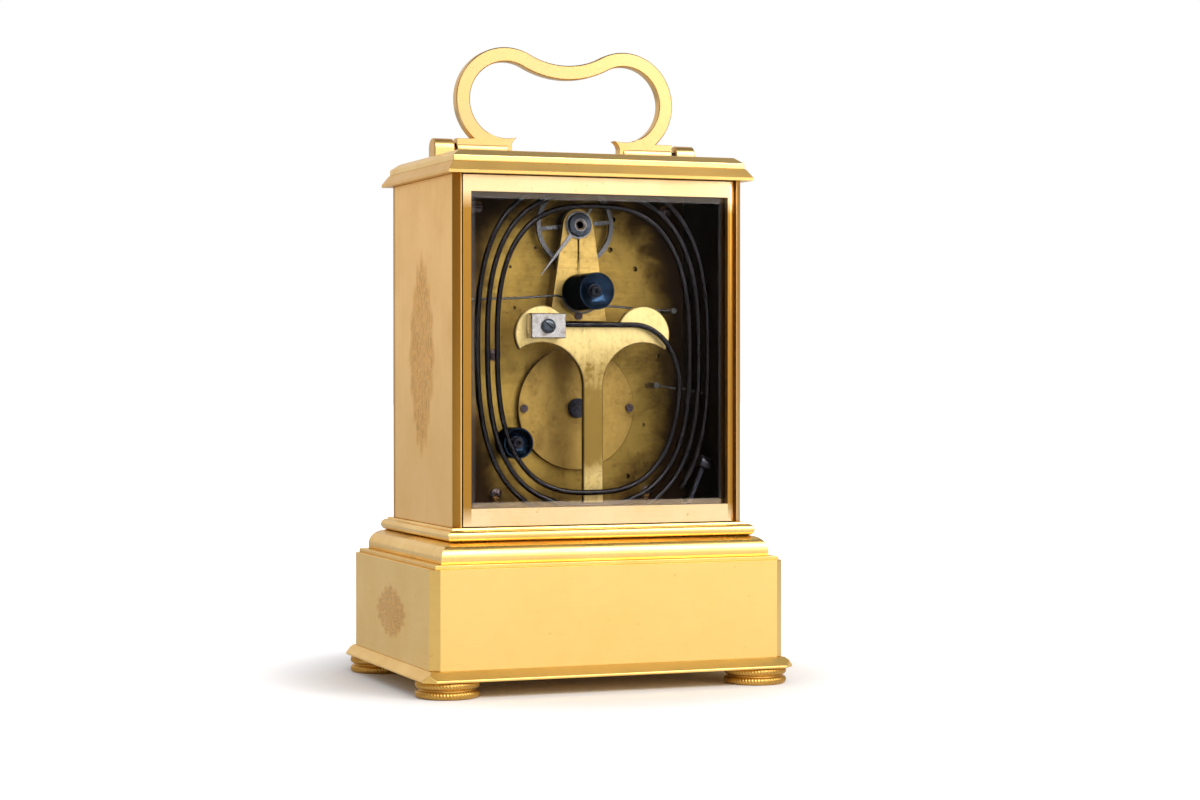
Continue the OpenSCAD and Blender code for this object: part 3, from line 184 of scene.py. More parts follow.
# The case is cast and sheet brass, fire-gilt and polished. Its flat faces show fine strokes along their
# length, faint clouds in the gilding and small dark spots. Amber is painted on the cut corners as
# reflection and on the door's stiles as shade.
def finish(name, sockets):
    """A material whose Principled sockets come from a function of a Tone."""
    material = bpy.data.materials.new(name)
    material.use_nodes = True
    tone = Tone(material.node_tree)
    shader = material.node_tree.nodes["Principled BSDF"]
    for key, value in sockets(tone).items():
        tone.join(shader.inputs[key], value)
    return material


def rubbing(tone, place, stroke, roughness):
    """Fine strokes of a polishing stick, drawn out by the vector stroke."""
    drawn_out = tone.node("VectorMath", {0: place, 1: stroke}, operation="MULTIPLY")
    return tone.node("TexNoise", {"Vector": drawn_out, "Scale": 1.0, "Detail": 3.0, "Roughness": roughness})


def gilding(stroke, light=(0.95, 0.66, 0.215, 1), deep=(0.60, 0.34, 0.07, 1), rough=0.27, ornament=None,
            inner=0, painted_light=None, painted_amber=((0.50, 0.255, 0.045, 1), (0.30, 0.14, 0.022, 1))):
    """Gilt brass with strokes drawn out by the vector stroke, engraved where ornament says, left ungilt and
    painted near black as shade where it is nearer to the middle than inner, and painted amber, from a mask
    and a pair of colours, as painted reflection and shade."""
    def sockets(tone):
        place = tone.node("TexCoord", out="Object")
        strokes = rubbing(tone, place, stroke, 0.6)
        clouds = tone.node("TexNoise", {"Vector": place, "Scale": 38.0, "Detail": 5.0, "Roughness": 0.62})
        specks = tone.node("TexNoise", {"Vector": place, "Scale": 620.0, "Detail": 2.0})
        spots = tone.scaled(specks, 0.70, 0.76)
        cloudy = tone.scaled(clouds, 0.38, 0.72)
        age = tone.maths("MINIMUM", cloudy * 0.38 + spots * 0.5 + (strokes - 0.5) * 0.25, 1.0)
        height = strokes * 0.6 + specks * 0.15
        light_here = light
        if ornament:
            ground, cut = ornament(tone, place)
            light_here = tone.blend(ground * 0.8, light, (1.0, 0.57, 0.13, 1))
            age = tone.maths("MINIMUM", age * 0.6 + cut * 0.75, 1.0)
            height = height - cut * 1.6
        colour = tone.blend(tone.maths("MAXIMUM", age, 0.0), light_here, deep)
        if painted_light:
            # Painted reflection and shade: amber where the mask says.
            colour = tone.blend(painted_light(tone, place), colour, tone.blend(clouds, *painted_amber))
        if inner:
            # Painted shade: the inner faces are left ungilt and painted near black.
            ungilt_and_shaded = tone.maths("LESS_THAN", tone.maths("ABSOLUTE", tone.part(place, 0)), inner)
            colour = tone.blend(ungilt_and_shaded, colour, (0.032, 0.016, 0.008, 1))
        relief = tone.node("Bump", {"Height": height, "Strength": 0.10, "Distance": 0.0002})
        return {"Base Color": colour, "Metallic": 1.0, "Normal": relief,
                "Roughness": rough + strokes * 0.10 + cloudy * 0.10}
    return sockets


def soften(nodes, width, material):
    """Softens the edges of CAD nodes and gives them a material."""
    for name in nodes:
        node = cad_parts[name]
        weld = node.modifiers.new("weld", "WELD")
        weld.merge_threshold = 0.000002
        round_off = node.modifiers.new("edge", "BEVEL")
        round_off.width = width
        round_off.segments = 2
        round_off.limit_method = "ANGLE"
        round_off.angle_limit = math.radians(32)
        round_off.harden_normals = True
        for place in node.material_slots:
            place.material = material


flat_stroke = (30, 30, 2600)
gilt_flat = finish("gilt_flat", gilding(flat_stroke))
# Painted highlight: the roof's gilt is paler than the rest.
gilt_top_highlit = finish("gilt_top_highlit", gilding((30, 2600, 2600), light=(1.0, 0.75, 0.32, 1)))
# Painted shade: the cornice's gilt is deeper, standing for the dark ceiling its slopes reflect.
gilt_cornice_shaded = finish("gilt_cornice_shaded", gilding(flat_stroke, light=(0.84, 0.54, 0.17, 1)))
soften(["base_slab", "plinth_step", "front_frame"], 0.00018, gilt_flat)
soften(["cornice"], 0.00018, gilt_cornice_shaded)
soften(["roof"], 0.00025, gilt_top_highlit)


# The walls and the plinth's ends carry an engraved cartouche of scrolls and leaves, cut shallow and
# worn, on a stippled ground. It is the usual ornament of such a case, drawn here from waves.
def cartouche(middle_z, half_w, half_h, axis=1):
    """A wavy outline and the scrolls in it, on faces that run along one axis and Z."""
    def ornament(tone, place):
        u = tone.part(place, axis) / half_w
        v = (tone.part(place, 2) - middle_z) / half_h
        angle = tone.maths("ARCTAN2", v, u)
        far = tone.maths("SQRT", u * u + v * v)
        edge = 0.90 + tone.maths("COSINE", angle * 16.0) * 0.05 + tone.maths("COSINE", angle * 4.0) * 0.04
        inside = tone.scaled(edge - far, -0.03, 0.12)
        scrolls = tone.maths("SINE", far * 21.0 + tone.maths("SINE", angle * 6.0) * 2.6)
        leaves = tone.maths("SINE", v * 17.0 + tone.maths("COSINE", u * 9.0) * 3.0)
        lines = tone.scaled(scrolls * leaves, 0.05, 0.5)
        stipple = tone.node("TexVoronoi", {"Vector": place, "Scale": 900.0}) * 1.1
        return inside, inside * tone.maths("MAXIMUM", lines, tone.maths("MINIMUM", stipple, 0.7))
    return ornament


wall_face, wall_end, wall_inside, plinth_cut = 0.04276, 0.0410, 0.0396, 0.0881


def wall_painted_reflection(tone, place):
    """Painted reflection on the walls' cut corners, weaker on the right, and a darker strip along the dial
    side's edge.
    """
    x = tone.part(place, 0)
    off = tone.maths("ABSOLUTE", x)
    # Painted reflection: amber on the cut corners, weaker on the right.
    share = tone.scaled(x, -0.001, 0.001, 0.45, 1.0)
    corner = tone.maths("LESS_THAN", off, wall_face) * tone.maths("GREATER_THAN", off, wall_end) * share
    darkening = tone.scaled(tone.part(place, 1), -0.0268, -0.0254, 0.75, 0.0)
    return tone.maths("MAXIMUM", corner, darkening)


def plinth_corner_reflection(tone, place):
    """Painted reflection on the plinth's cut corners."""
    x, y = (tone.maths("ABSOLUTE", tone.part(place, axis)) for axis in (0, 1))
    return tone.maths("GREATER_THAN", x + y, plinth_cut)


gilt_wall = finish("gilt_wall", gilding(
    (900, 900, 60), light=(1.0, 0.66, 0.24, 1), rough=0.31, ornament=cartouche(0.0925, 0.0125, 0.0295),
    inner=wall_inside, painted_light=wall_painted_reflection))
# The plinth's cut corners take a bright amber as painted reflection.
gilt_plinth = finish("gilt_plinth", gilding(
    flat_stroke, ornament=cartouche(0.0205, 0.015, 0.0078), painted_light=plinth_corner_reflection,
    painted_amber=((1.0, 0.63, 0.09, 1), (1.0, 0.57, 0.07, 1))))
soften(["left_wall", "right_wall"], 0.00020, gilt_wall)
soften(["plinth_box"], 0.00022, gilt_plinth)


# The four feet are turned brass discs under the corners of the base slab. Each has two rings, and
# the rings' edges are knurled as a twisted rope.
def piece(name, shape, material, body, nodes, angle):
    """A mesh piece, smooth but for its sharp edges, that rides on a body and stands for CAD nodes."""
    verts, faces = shape
    mesh = bpy.data.meshes.new(name)
    mesh.from_pydata(verts, [], faces)
    cleaned = bmesh.new()
    cleaned.from_mesh(mesh)
    bmesh.ops.recalc_face_normals(cleaned, faces=cleaned.faces)
    cleaned.to_mesh(mesh)
    cleaned.free()
    mesh.shade_smooth()
    mesh.set_sharp_from_angle(angle=math.radians(angle))
    mesh.materials.append(material)
    made = bpy.data.objects.new(name, mesh)
    bpy.context.scene.collection.objects.link(made)
    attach(made, body)
    if nodes:
        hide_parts(*nodes)
    return made


def skin(rings):
    """Faces between rings of equally many points, with a face on each end."""
    n = len(rings[0])
    verts = [p for ring in rings for p in ring]
    faces = [(i * n + k, i * n + (k + 1) % n, (i + 1) * n + (k + 1) % n, (i + 1) * n + k)
             for i in range(len(rings) - 1) for k in range(n)]
    faces.append(tuple(range(n)))
    faces.append(tuple(range((len(rings) - 1) * n, len(rings) * n)))
    return verts, faces


def arc(cx, cy, r, first, last, count):
    """Points along an arc, angles in degrees."""
    angles = [math.radians(first + (last - first) * i / count) for i in range(count + 1)]
    return [(cx + r * math.cos(a), cy + r * math.sin(a)) for a in angles]


foot_x, foot_y, foot_h, foot_steps = 0.0455, 0.0322, 0.0047, 360
foot_ring, foot_neck, foot_bore = 0.00775, 0.0078, 0.0046
rope_r, rope_cut, rope_strands, rope_lean = 0.00105, 0.00022, 60, 2400
rope_from, rope_rise = 0.0079, 0.0009
foot_section = [(foot_bore, 0.0), (foot_neck, 0.0)]
foot_section += arc(foot_ring, 0.00108, rope_r, -80, 80, 10)
foot_section += [(foot_neck, 0.00235)]
foot_section += arc(foot_ring, 0.00362, rope_r, -80, 80, 10)
foot_section += [(foot_neck, foot_h), (foot_bore, foot_h)]


def roped(cx, cy):
    """A foot round (cx, cy), its rings cut by slanting grooves."""
    rings = []
    for r, z in foot_section:
        bulge = max(0.0, (r - rope_from) / rope_rise)
        ring = []
        for k in range(foot_steps):
            a = 2 * math.pi * k / foot_steps
            groove = (0.5 + 0.5 * math.cos(rope_strands * a + rope_lean * z)) ** 2
            out = r - rope_cut * bulge * groove
            ring.append((cx + out * math.cos(a), cy + out * math.sin(a), z))
        rings.append(ring)
    return skin(rings)


gilt_foot = finish("gilt_foot", gilding(
    (900, 900, 900), light=(0.62, 0.37, 0.09, 1), deep=(0.32, 0.17, 0.035, 1), rough=0.28))
for i, (sx, sy) in enumerate([(1, 1), (-1, 1), (1, -1), (-1, -1)]):
    foot = piece(f"foot_{i + 1}", roped(sx * foot_x, sy * foot_y), gilt_foot, "case", [], 60)
    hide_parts("feet")


# The lower moulding is a band with a quarter round above it, and the upper one a half round with a
# small fillet. Both are cast, mitred at the corners and polished bright.
body_half_x, body_half_y = 0.0428, 0.0302


def mitred(section):
    """A moulding whose section, as (out, z) points, goes round the body."""
    corners = ((1, 1), (-1, 1), (-1, -1), (1, -1))
    return skin([[(sx * (body_half_x + out), sy * (body_half_y + out), z) for sx, sy in corners]
                 for out, z in section])


gilt_moulding = finish("gilt_moulding", gilding((30, 30, 900), rough=0.20))
tucked, lower_z, meeting_z, upper_z = -0.010, 0.0359, 0.0416, 0.0453
lower_section = [(tucked, lower_z), (0.0052, lower_z), (0.0054, 0.0361), (0.0054, 0.0373)]
lower_section += arc(0.0011, 0.0373, 0.0043, 4, 90, 20) + [(tucked, meeting_z)]
piece("lower_round", mitred(lower_section), gilt_moulding, "case", ["lower_moulding"], 50)
upper_section = [(tucked, meeting_z), (0.0009, meeting_z)] + arc(0.0009, 0.0432, 0.0016, -88, 88, 22)
upper_section += [(0.0009, 0.0449), (0.0008, upper_z), (tucked, upper_z)]
piece("upper_round", mitred(upper_section), gilt_moulding, "case", ["upper_moulding"], 50)


# The bail handle is a flat bar bent into two shoulders with a dip between them. Its fish-tail feet
# turn on pins between two knuckle blocks, and it stands up or lies down on the roof.
pivot_z, shoulder_x, shoulder_z = 0.1507, 0.018, 0.0143
bar_outer, bar_inner, bar_dip, bar_half = 0.015, 0.0109, 0.0045, 0.0017


def bail_edge(r):
    """The right half of one edge of the bail, from the dip's middle to the foot, as (x, z) points."""
    low = r - bar_dip
    big = (shoulder_x ** 2 + low ** 2 - r ** 2) / (2 * (r - low))
    middle = shoulder_z + r - bar_dip + big
    lean = math.degrees(math.atan2(middle - shoulder_z, -shoulder_x))
    along_dip = arc(0, middle, big, -90, lean - 180, 12)
    return along_dip + arc(shoulder_x, shoulder_z, r, lean, -62, 44)[1:]


def chamfered(outline, y0, y1, edge):
    """A flat bar of a given (x, z) outline between two depths, with small chamfers along its edges."""
    points = [Vector(p) for p in outline]
    ring = [p for i, p in enumerate(points) if (p - points[i - 1]).length > 0.00004]
    inner = []
    for i, p in enumerate(ring):
        a = (p - ring[i - 1]).normalized()
        b = (ring[(i + 1) % len(ring)] - p).normalized()
        normal = Vector((a.y + b.y, -a.x - b.x))
        normal = normal.normalized() if normal.length > 1e-6 else Vector((a.y, -a.x))
        inner.append(p - normal * edge)
    return skin([[(p.x, y0, p.y) for p in inner], [(p.x, y0 + edge, p.y) for p in ring],
                 [(p.x, y1 - edge, p.y) for p in ring], [(p.x, y1, p.y) for p in inner]])


def turn_outline(points):
    """The outline, turned the other way round if it runs clockwise."""
    pairs = [(points[i - 1], points[i]) for i in range(len(points))]
    area = sum(p[0] * q[1] - q[0] * p[1] for p, q in pairs)
    return points if area > 0 else points[::-1]


def joined(shapes):
    """Several shapes as one."""
    verts, faces = [], []
    for more_verts, more_faces in shapes:
        faces += [tuple(i + len(verts) for i in face) for face in more_faces]
        verts += more_verts
    return verts, faces


def mirror(points):
    return [(-x, z) for x, z in points]


outer_edge = bail_edge(bar_outer)
inner_edge = bail_edge(bar_inner)
bail = outer_edge[::-1][:-1] + mirror(outer_edge) + mirror(inner_edge[::-1]) + inner_edge[1:]
bail = turn_outline([(x, pivot_z + z) for x, z in bail])
bail_shapes = [chamfered(bail, -bar_half, bar_half, 0.0003)]
for s in (-1, 1):
    tail = [(0.0328, -0.0001), (0.0328, 0.0030), (0.0262, 0.0031), (0.0232, 0.0046), (0.0215, 0.0040)]
    tail += arc(shoulder_x, shoulder_z, bar_inner, -70, -95, 6) + arc(0.0135, 0.0010, 0.0030, 64, -21, 8)
    tail = turn_outline([(s * x, pivot_z + z) for x, z in tail])
    bail_shapes.append(chamfered(tail, 0.00003 - bar_half, bar_half - 0.00003, 0.00012))
    barrel = ((0.0176, 0.0018), (0.0179, 0.0021), (0.0325, 0.0021), (0.0328, 0.0018))
    bail_shapes.append(skin([[(s * x, y, z) for y, z in arc(0, pivot_z, r, 0, 360, 40)[:-1]]
                             for x, r in barrel]))
gilt_handle = finish("gilt_handle", gilding((500, 500, 500), light=(0.78, 0.535, 0.225, 1), rough=0.25))
piece("bail", joined(bail_shapes), gilt_handle, "handle", ["handle"], 35)

knuckle_r, knuckle_base, knuckle_h = 0.0029, 0.1482, 0.0054
for s, name in ((-1, "knuckle_right"), (1, "knuckle_left")):
    block = [(-knuckle_r, knuckle_base), (knuckle_r, knuckle_base), (knuckle_r, pivot_z)]
    block += arc(0, pivot_z, knuckle_r, 0, 180, 20)[1:]
    rings = []
    for x, shrink in ((0.0338, 0.0003), (0.0341, 0.0), (0.0395, 0.0), (0.0398, 0.0003)):
        narrow, low = 1 - shrink / knuckle_r, 1 - shrink / knuckle_h
        rings.append([(s * x, y * narrow, knuckle_base + (z - knuckle_base) * low) for y, z in block])
    piece(name, skin(rings), gilt_handle, "case", ["handle_knuckles"], 35)


# The back door is a brass frame with a pane of clear glass behind its lap, bevelled all round. The
# front frame holds the same glass before the dial.
door_mid_z, stile_from, stile_end = 0.0915, 0.0380, (0.0455, 0.0405)


def stile_shade(tone, place):
    """Painted amber shade on the door's upright bars, fading out near their ends."""
    beside = tone.maths("GREATER_THAN", tone.maths("ABSOLUTE", tone.part(place, 0)), stile_from)
    between = tone.scaled(tone.maths("ABSOLUTE", tone.part(place, 2) - door_mid_z), *stile_end)
    return beside * between


# Painted highlight: the door's gilt is paler than the rest.
gilt_door_highlit = finish("gilt_door_highlit", gilding(flat_stroke, light=(0.95, 0.70, 0.385, 1), painted_light=stile_shade))
soften(["back_door"], 0.00022, gilt_door_highlit)

pane = bpy.data.materials.new("bevelled_glass")
pane.use_nodes = True
clear = Tone(pane.node_tree)
pane_shader = pane.node_tree.nodes["Principled BSDF"]
pane_shader.inputs["Base Color"].default_value = (0.97, 0.985, 0.98, 1)
pane_shader.inputs["Roughness"].default_value = 0.0
pane_shader.inputs["IOR"].default_value = 1.08
pane_shader.inputs["Transmission Weight"].default_value = 1.0
open_air = clear.node("BsdfTransparent", {"Color": (0.95, 0.97, 0.96, 1)})
in_shadow = clear.node("LightPath", out="Is Shadow Ray")
in_view = Tone(pane.node_tree, pane_shader.outputs[0])
glass = clear.node("MixShader", {0: in_shadow, 1: in_view, 2: open_air})
sheen = clear.node("BsdfGlossy", {"Color": (0.80, 0.78, 0.80, 1), "Roughness": 0.12})
pane_place = clear.node("TexCoord", out="Object")
pane_mid_z, side_bevel, end_bevel = 0.09365, (0.0362, 0.0366), (0.0414, 0.0418)
from_side = clear.scaled(clear.maths("ABSOLUTE", clear.part(pane_place, 0)), *side_bevel)
from_end = clear.scaled(clear.maths("ABSOLUTE", clear.part(pane_place, 2) - pane_mid_z), *end_bevel)
on_bevel = clear.maths("MAXIMUM", from_side * 0.04, from_end * 0.09)
bevelled = clear.node("MixShader", {0: on_bevel, 1: glass, 2: sheen})
clear.join(pane.node_tree.nodes["Material Output"].inputs["Surface"], bevelled)
for name in ("back_glass", "front_glass"):
    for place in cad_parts[name].material_slots:
        place.material = pane


# The plates are thick brass, gilt long ago and since mottled brown, with strokes up and down, and with
# painted shade towards their edges and on the upright sides of raised parts. The bridge and the cock on the
# back plate are cleaner.
plate_half_w, plate_half_h, plate_mid_z = 0.0305, 0.0460, 0.0925


def old_brass(stroke, light=(0.36, 0.225, 0.052, 1), dark=(0.085, 0.046, 0.012, 1), amount=0.8, rough=0.30,
              rim_shade=0.0, reflection_bands=(), flank_shade=0.85):
    """Aged gilt brass: strokes, brown clouds and spots, painted shade in a given share towards the plate's
    edges and another on its sides, and painted reflection as bands up its height, given as pairs of a
    height and a share."""
    def sockets(tone):
        place = tone.node("TexCoord", out="Object")
        strokes = rubbing(tone, place, stroke, 0.65)
        clouds = tone.node("TexNoise", {
            "Vector": place, "Scale": 75.0, "Detail": 7.0, "Roughness": 0.68, "Distortion": 0.6})
        grains = tone.node("TexNoise", {"Vector": place, "Scale": 900.0, "Detail": 3.0})
        brown = tone.scaled(clouds, 0.40, 0.74) * amount + tone.scaled(grains, 0.55, 0.80) * 0.35
        x = tone.part(place, 0) / plate_half_w
        z = (tone.part(place, 2) - plate_mid_z) / plate_half_h
        far = tone.maths("ABSOLUTE", x) ** 3.2 + tone.maths("ABSOLUTE", z) ** 3.2 + (clouds - 0.5) * 0.5
        # Painted shade towards the plate's edges, added to the brown.
        edge = tone.scaled(far, 0.45, 1.15) * rim_shade
        brown = brown + edge
        # Painted reflection: darker bands up the height.
        if reflection_bands:
            low, high = 0.04, 0.12
            stops = [((height - low) / (high - low), (share, share, share, 1)) for height, share in reflection_bands]
            up = tone.scaled(tone.part(place, 2), low, high)
            brown = brown + tone.node("ValToRGB", {0: up}, stops=stops)
        brown = tone.maths("MINIMUM", tone.maths("MAXIMUM", brown + (strokes - 0.5) * 0.5, 0.0), 1.0)
        # Painted shade on upright sides, where the normal turns away from Y.
        facing = tone.maths("ABSOLUTE", tone.part(tone.node("TexCoord", out="Normal"), 1))
        darkening = tone.maths("MAXIMUM", edge, tone.scaled(facing, 0.60, 0.35) * flank_shade)
        relief = {"Height": strokes + grains * 0.4, "Strength": 0.12, "Distance": 0.0003}
        return {"Base Color": tone.blend(darkening, tone.blend(brown, light, dark), (0.020, 0.010, 0.005, 1)),
                "Metallic": 1.0, "Roughness": rough + brown * 0.22 + strokes * 0.08,
                "Normal": tone.node("Bump", relief)}
    return sockets


plate_stroke = (60, 900, 1500)
plate_brass = finish("plate_brass", old_brass(plate_stroke, rim_shade=0.93))
wheel_brass = finish("wheel_brass", old_brass(
    (700, 700, 700), light=(0.50, 0.34, 0.10, 1), amount=0.5, flank_shade=0.0))
bridge_brass = finish("bridge_brass", old_brass((500, 500, 120), light=(0.38, 0.235, 0.062, 1), rim_shade=0.5))
cock_brass = finish("cock_brass", old_brass(plate_stroke, light=(0.66, 0.43, 0.13, 1), amount=0.45))
soften(["back_plate", "front_plate"], 0.00015, plate_brass)
soften(["barrel_bridge"], 0.00025, bridge_brass)
soften(["balance_cock"], 0.00025, cock_brass)
soften(["case_floor", "plate_pillars"], 0.00010, wheel_brass)


# The gong's stand is a T of thick gilt brass with two round lobes, finished brighter than the plates, with
# bands of painted reflection up its height, darkest about the stem's middle. Its bent foot is screwed to
# the case floor.
mid_z, stem_x, stem_half, floor_z = 0.1102, -0.0011, 0.0029, 0.0436
arch_z, lobe_z = mid_z - 0.0266, mid_z - 0.0119
lobe_x, lobe_r, arch_r = 0.0152, 0.0079, 0.0123
half_stand = [(stem_half, floor_z)] + arc(lobe_x, arch_z, arch_r, 180, 57.5, 30)
half_stand += arc(lobe_x, lobe_z, lobe_r, -33.2, 155.3, 44)[1:]
stand = turn_outline([(stem_x + x, z) for x, z in half_stand + mirror(half_stand[::-1])])
stand_brass = finish("stand_brass", old_brass(
    (900, 900, 120), light=(0.93, 0.70, 0.30, 1), dark=(0.22, 0.135, 0.034, 1), amount=0.40, rough=0.26,
    reflection_bands=((0.044, 0.25), (0.058, 0.45), (0.066, 0.95), (0.082, 1.0),
           (0.091, 0.55), (0.099, 0.0), (0.12, 0.0))))
piece("stand_plate", chamfered(stand, 0.0185, 0.0205, 0.00025), stand_brass, "case", ["gong_stand"], 30)
stand_foot_top = 0.0461
stand_foot = [(stem_x - stem_half, floor_z), (stem_x + stem_half, floor_z),
              (stem_x + stem_half, stand_foot_top), (stem_x - stem_half, stand_foot_top)]
piece("stand_foot", chamfered(stand_foot, 0.0125, 0.0186, 0.0002), stand_brass, "case", ["gong_stand"], 30)


# The balance, the regulator, the springs, the arbors and the screws are of polished steel, grey with a
# little rust brown. The screws are dark, and the hammer, the arbors, the pins and the knobs' bosses are
# near black, partly as painted shade.
def polished_steel(light, dark, rough=0.22, amount=0.6, size=210.0, graze=0.6):
    """Steel with fine rubbing marks and patches where the polish has dulled."""
    def sockets(tone):
        place = tone.node("TexCoord", out="Object")
        dull = tone.node("TexNoise", {"Vector": place, "Scale": size, "Detail": 4.0, "Roughness": 0.55})
        fine = tone.node("TexNoise", {"Vector": place, "Scale": 2600.0, "Detail": 2.0})
        patch = tone.scaled(dull, 0.42, 0.74) * amount
        return {"Base Color": tone.blend(patch, light, dark),
                "Metallic": 1.0, "Roughness": rough + patch * 0.25 + fine * 0.06,
                "Specular Tint": (graze, graze, graze, 1),
                "Normal": tone.node("Bump", {"Height": fine, "Strength": 0.03, "Distance": 0.00005})}
    return sockets


steel = finish("polished_steel", polished_steel((0.17, 0.165, 0.17, 1), (0.07, 0.05, 0.045, 1)))
# Partly painted shade: near black steel for the hammer, arbors, pins and bosses.
dark_and_shaded_steel = finish("dark_and_shaded_steel", polished_steel(
    (0.040, 0.040, 0.052, 1), (0.03, 0.018, 0.015, 1), rough=0.20))
index_steel = finish("index_steel", polished_steel(
    (0.34, 0.33, 0.34, 1), (0.12, 0.10, 0.10, 1), rough=0.16))
screw_steel = finish("screw_steel", polished_steel((0.09, 0.065, 0.067, 1), (0.04, 0.024, 0.024, 1)))
soften(["balance"], 0.00008, steel)
soften(["regulator"], 0.00006, index_steel)
soften(["hammer"], 0.00015, dark_and_shaded_steel)
soften(["plate_springs"], 0.00002, steel)
soften(["plate_screws"], 0.00008, screw_steel)
soften(["case_rods", "handle_pins", "back_door_pins", "cannon_pinion", "going_spring", "barrel_arbor",
        "click", "winding_arbor", "escape_wheel", "pallet_lever", "setting_arbor"], 0.00003, dark_and_shaded_steel)


# The wheels of both trains and of the motion work are brass, crossed out with four arms and riveted
# to their arbors. They are cleaner than the plates.
soften(["going_barrel", "strike_barrel", "winding_wheel", "intermediate_wheel", "centre_wheel",
        "third_wheel", "fourth_wheel", "pin_wheel", "warning_wheel", "strike_fly", "minute_wheel",
        "hour_wheel"], 0.00003, wheel_brass)


# Knobs of blued steel, turned with a broad bevel, fine rings on the face and a drilled boss. The
# long one sets the hands and the short one winds the mainspring.
def turned(section, place, steps=72):
    """Rings turned round an axis along Y through place, as (radius, y) points."""
    x, z = place
    return skin([[(x + r * math.cos(2 * math.pi * k / steps), y, z + r * math.sin(2 * math.pi * k / steps))
                  for k in range(steps)] for r, y in section])


def knob_section(r, y0, y1):
    """A knob's side and dished face, from its inner end y0 to its outer end y1."""
    face = [(0.0006, y1 - 0.0024), (0.0006, y1 - 0.0005), (0.0007, y1 - 0.0004), (0.00125, y1 - 0.0004),
            (0.00135, y1 - 0.0005), (0.0015, y1 - 0.0017), (0.0019, y1 - 0.0017)]
    for i in range(1, 13):
        dish = i / 12
        ridge = 0.00002 if i % 3 == 0 else 0
        face.append((0.0019 + dish * (r - 0.0024), y1 - 0.0017 + 0.00155 * dish ** 1.4 + ridge))
    face += [(r - 0.00045, y1), (r - 0.00015, y1), (r, y1 - 0.0002)]
    return [(0.0010, y0), (r - 0.0003, y0), (r, y0 + 0.0003)] + face[::-1]


knobs = [("setting", (0, mid_z), 0.0052, 0.0119, 0.0263, "hand_setting"),
         ("winding", (0.0195, 0.0678), 0.0044, 0.0080, 0.0160, "winding")]
blued = finish("blued_steel", polished_steel(
    (0.018, 0.036, 0.070, 1), (0.008, 0.013, 0.026, 1), rough=0.15, amount=0.5, graze=0.12))
for kind, place, r, y0, y1, body in knobs:
    piece(kind + "_knob_turned", turned(knob_section(r, y0, y1), place), blued, body, [kind + "_knob"], 30)
for kind, place, r, y0, y1, body in knobs:
    boss = [(0.0019, y1 - 0.00185), (0.0019, y1 - 0.00160), (0.00140, y1 - 0.00160),
            (0.00132, y1 - 0.0004), (0.0012, y1 - 0.0003), (0.0008, y1 - 0.0003),
            (0.0007, y1 - 0.0004), (0.00065, y1 - 0.0015)]
    piece(kind + "_boss", turned(boss, place, 48), dark_and_shaded_steel, body, [kind + "_knob"], 30)


# The cap over the balance staff is a polished steel disc held on the cock, with a sink round its middle
# whose light colour is a painted highlight.
balance_place = (0, 0.1293)
cap_section = [(0.0024, 0.0115), (0.0024, 0.0122), (0.0031, 0.0122), (0.0034, 0.0124), (0.0034, 0.0129),
               (0.0031, 0.0132), (0.0018, 0.0133), (0.0018, 0.0129)]
cap_steel = finish("cap_steel", polished_steel(
    (0.075, 0.085, 0.105, 1), (0.045, 0.045, 0.05, 1), rough=0.24))
piece("cap_turned", turned(cap_section, balance_place), cap_steel, "case", ["cock_cap"], 30)
sink_section = [(0.00178, 0.0129), (0.00178, 0.01332), (0.0016, 0.01336), (0.0011, 0.0130),
                (0.0009, 0.01275), (0.0004, 0.01275), (0.0003, 0.0126)]
# Painted highlight: the sink's steel is much lighter than the cap's.
sink_highlight_steel = finish("sink_highlight_steel", polished_steel((0.50, 0.43, 0.41, 1), (0.2, 0.15, 0.14, 1), rough=0.34))
piece("cap_sink", turned(sink_section, balance_place, 48), sink_highlight_steel, "case", ["cock_cap"], 30)


# Gong: one steel wire of about three turns, hardened and left grey brown. It leaves its block
# straight, bends down round a quarter and opens turn by turn.
gong_mid, gong_y, gong_turns, wire_r = mid_z - 0.0162, 0.0225, 3.13, 0.00075
gong_half_w, gong_half_h, corner_power = 0.0266, 0.040, 2.7
square_power = 2 / corner_power
gong_widen, gong_lower, gong_raise, join_drop = 0.00285, 0.0033, 0.0035, 0.010


def gong_point(u):
    """The wire's middle after u turns, as (x, z), on an oval with full corners."""
    c, s = math.cos(2 * math.pi * u), math.sin(2 * math.pi * u)
    w = gong_half_w + gong_widen * u
    h = gong_half_h + (gong_lower * (u - 0.25) if s > 0 else gong_raise * (u - 0.75))
    return (-w * math.copysign(abs(c) ** square_power, c),
            gong_mid - h * math.copysign(abs(s) ** square_power, s))


lead_z, bend_x, bend_z = mid_z - 0.0093, -0.0126, gong_mid - join_drop
join_u = math.asin((join_drop / gong_half_h) ** (corner_power / 2)) / (2 * math.pi)
join_x = gong_point(join_u)[0]
gong_path = [(x, lead_z) for x in (0.0085, 0.0059, 0.0020, -0.0020, -0.0060, -0.0095)]
gong_path += [(bend_x + (join_x - bend_x) * math.cos(math.radians(a)),
               bend_z + (lead_z - bend_z) * math.sin(math.radians(a))) for a in range(90, 2, -5)]
gong_path += [gong_point(join_u + (gong_turns - join_u) * i / 300) for i in range(301)]


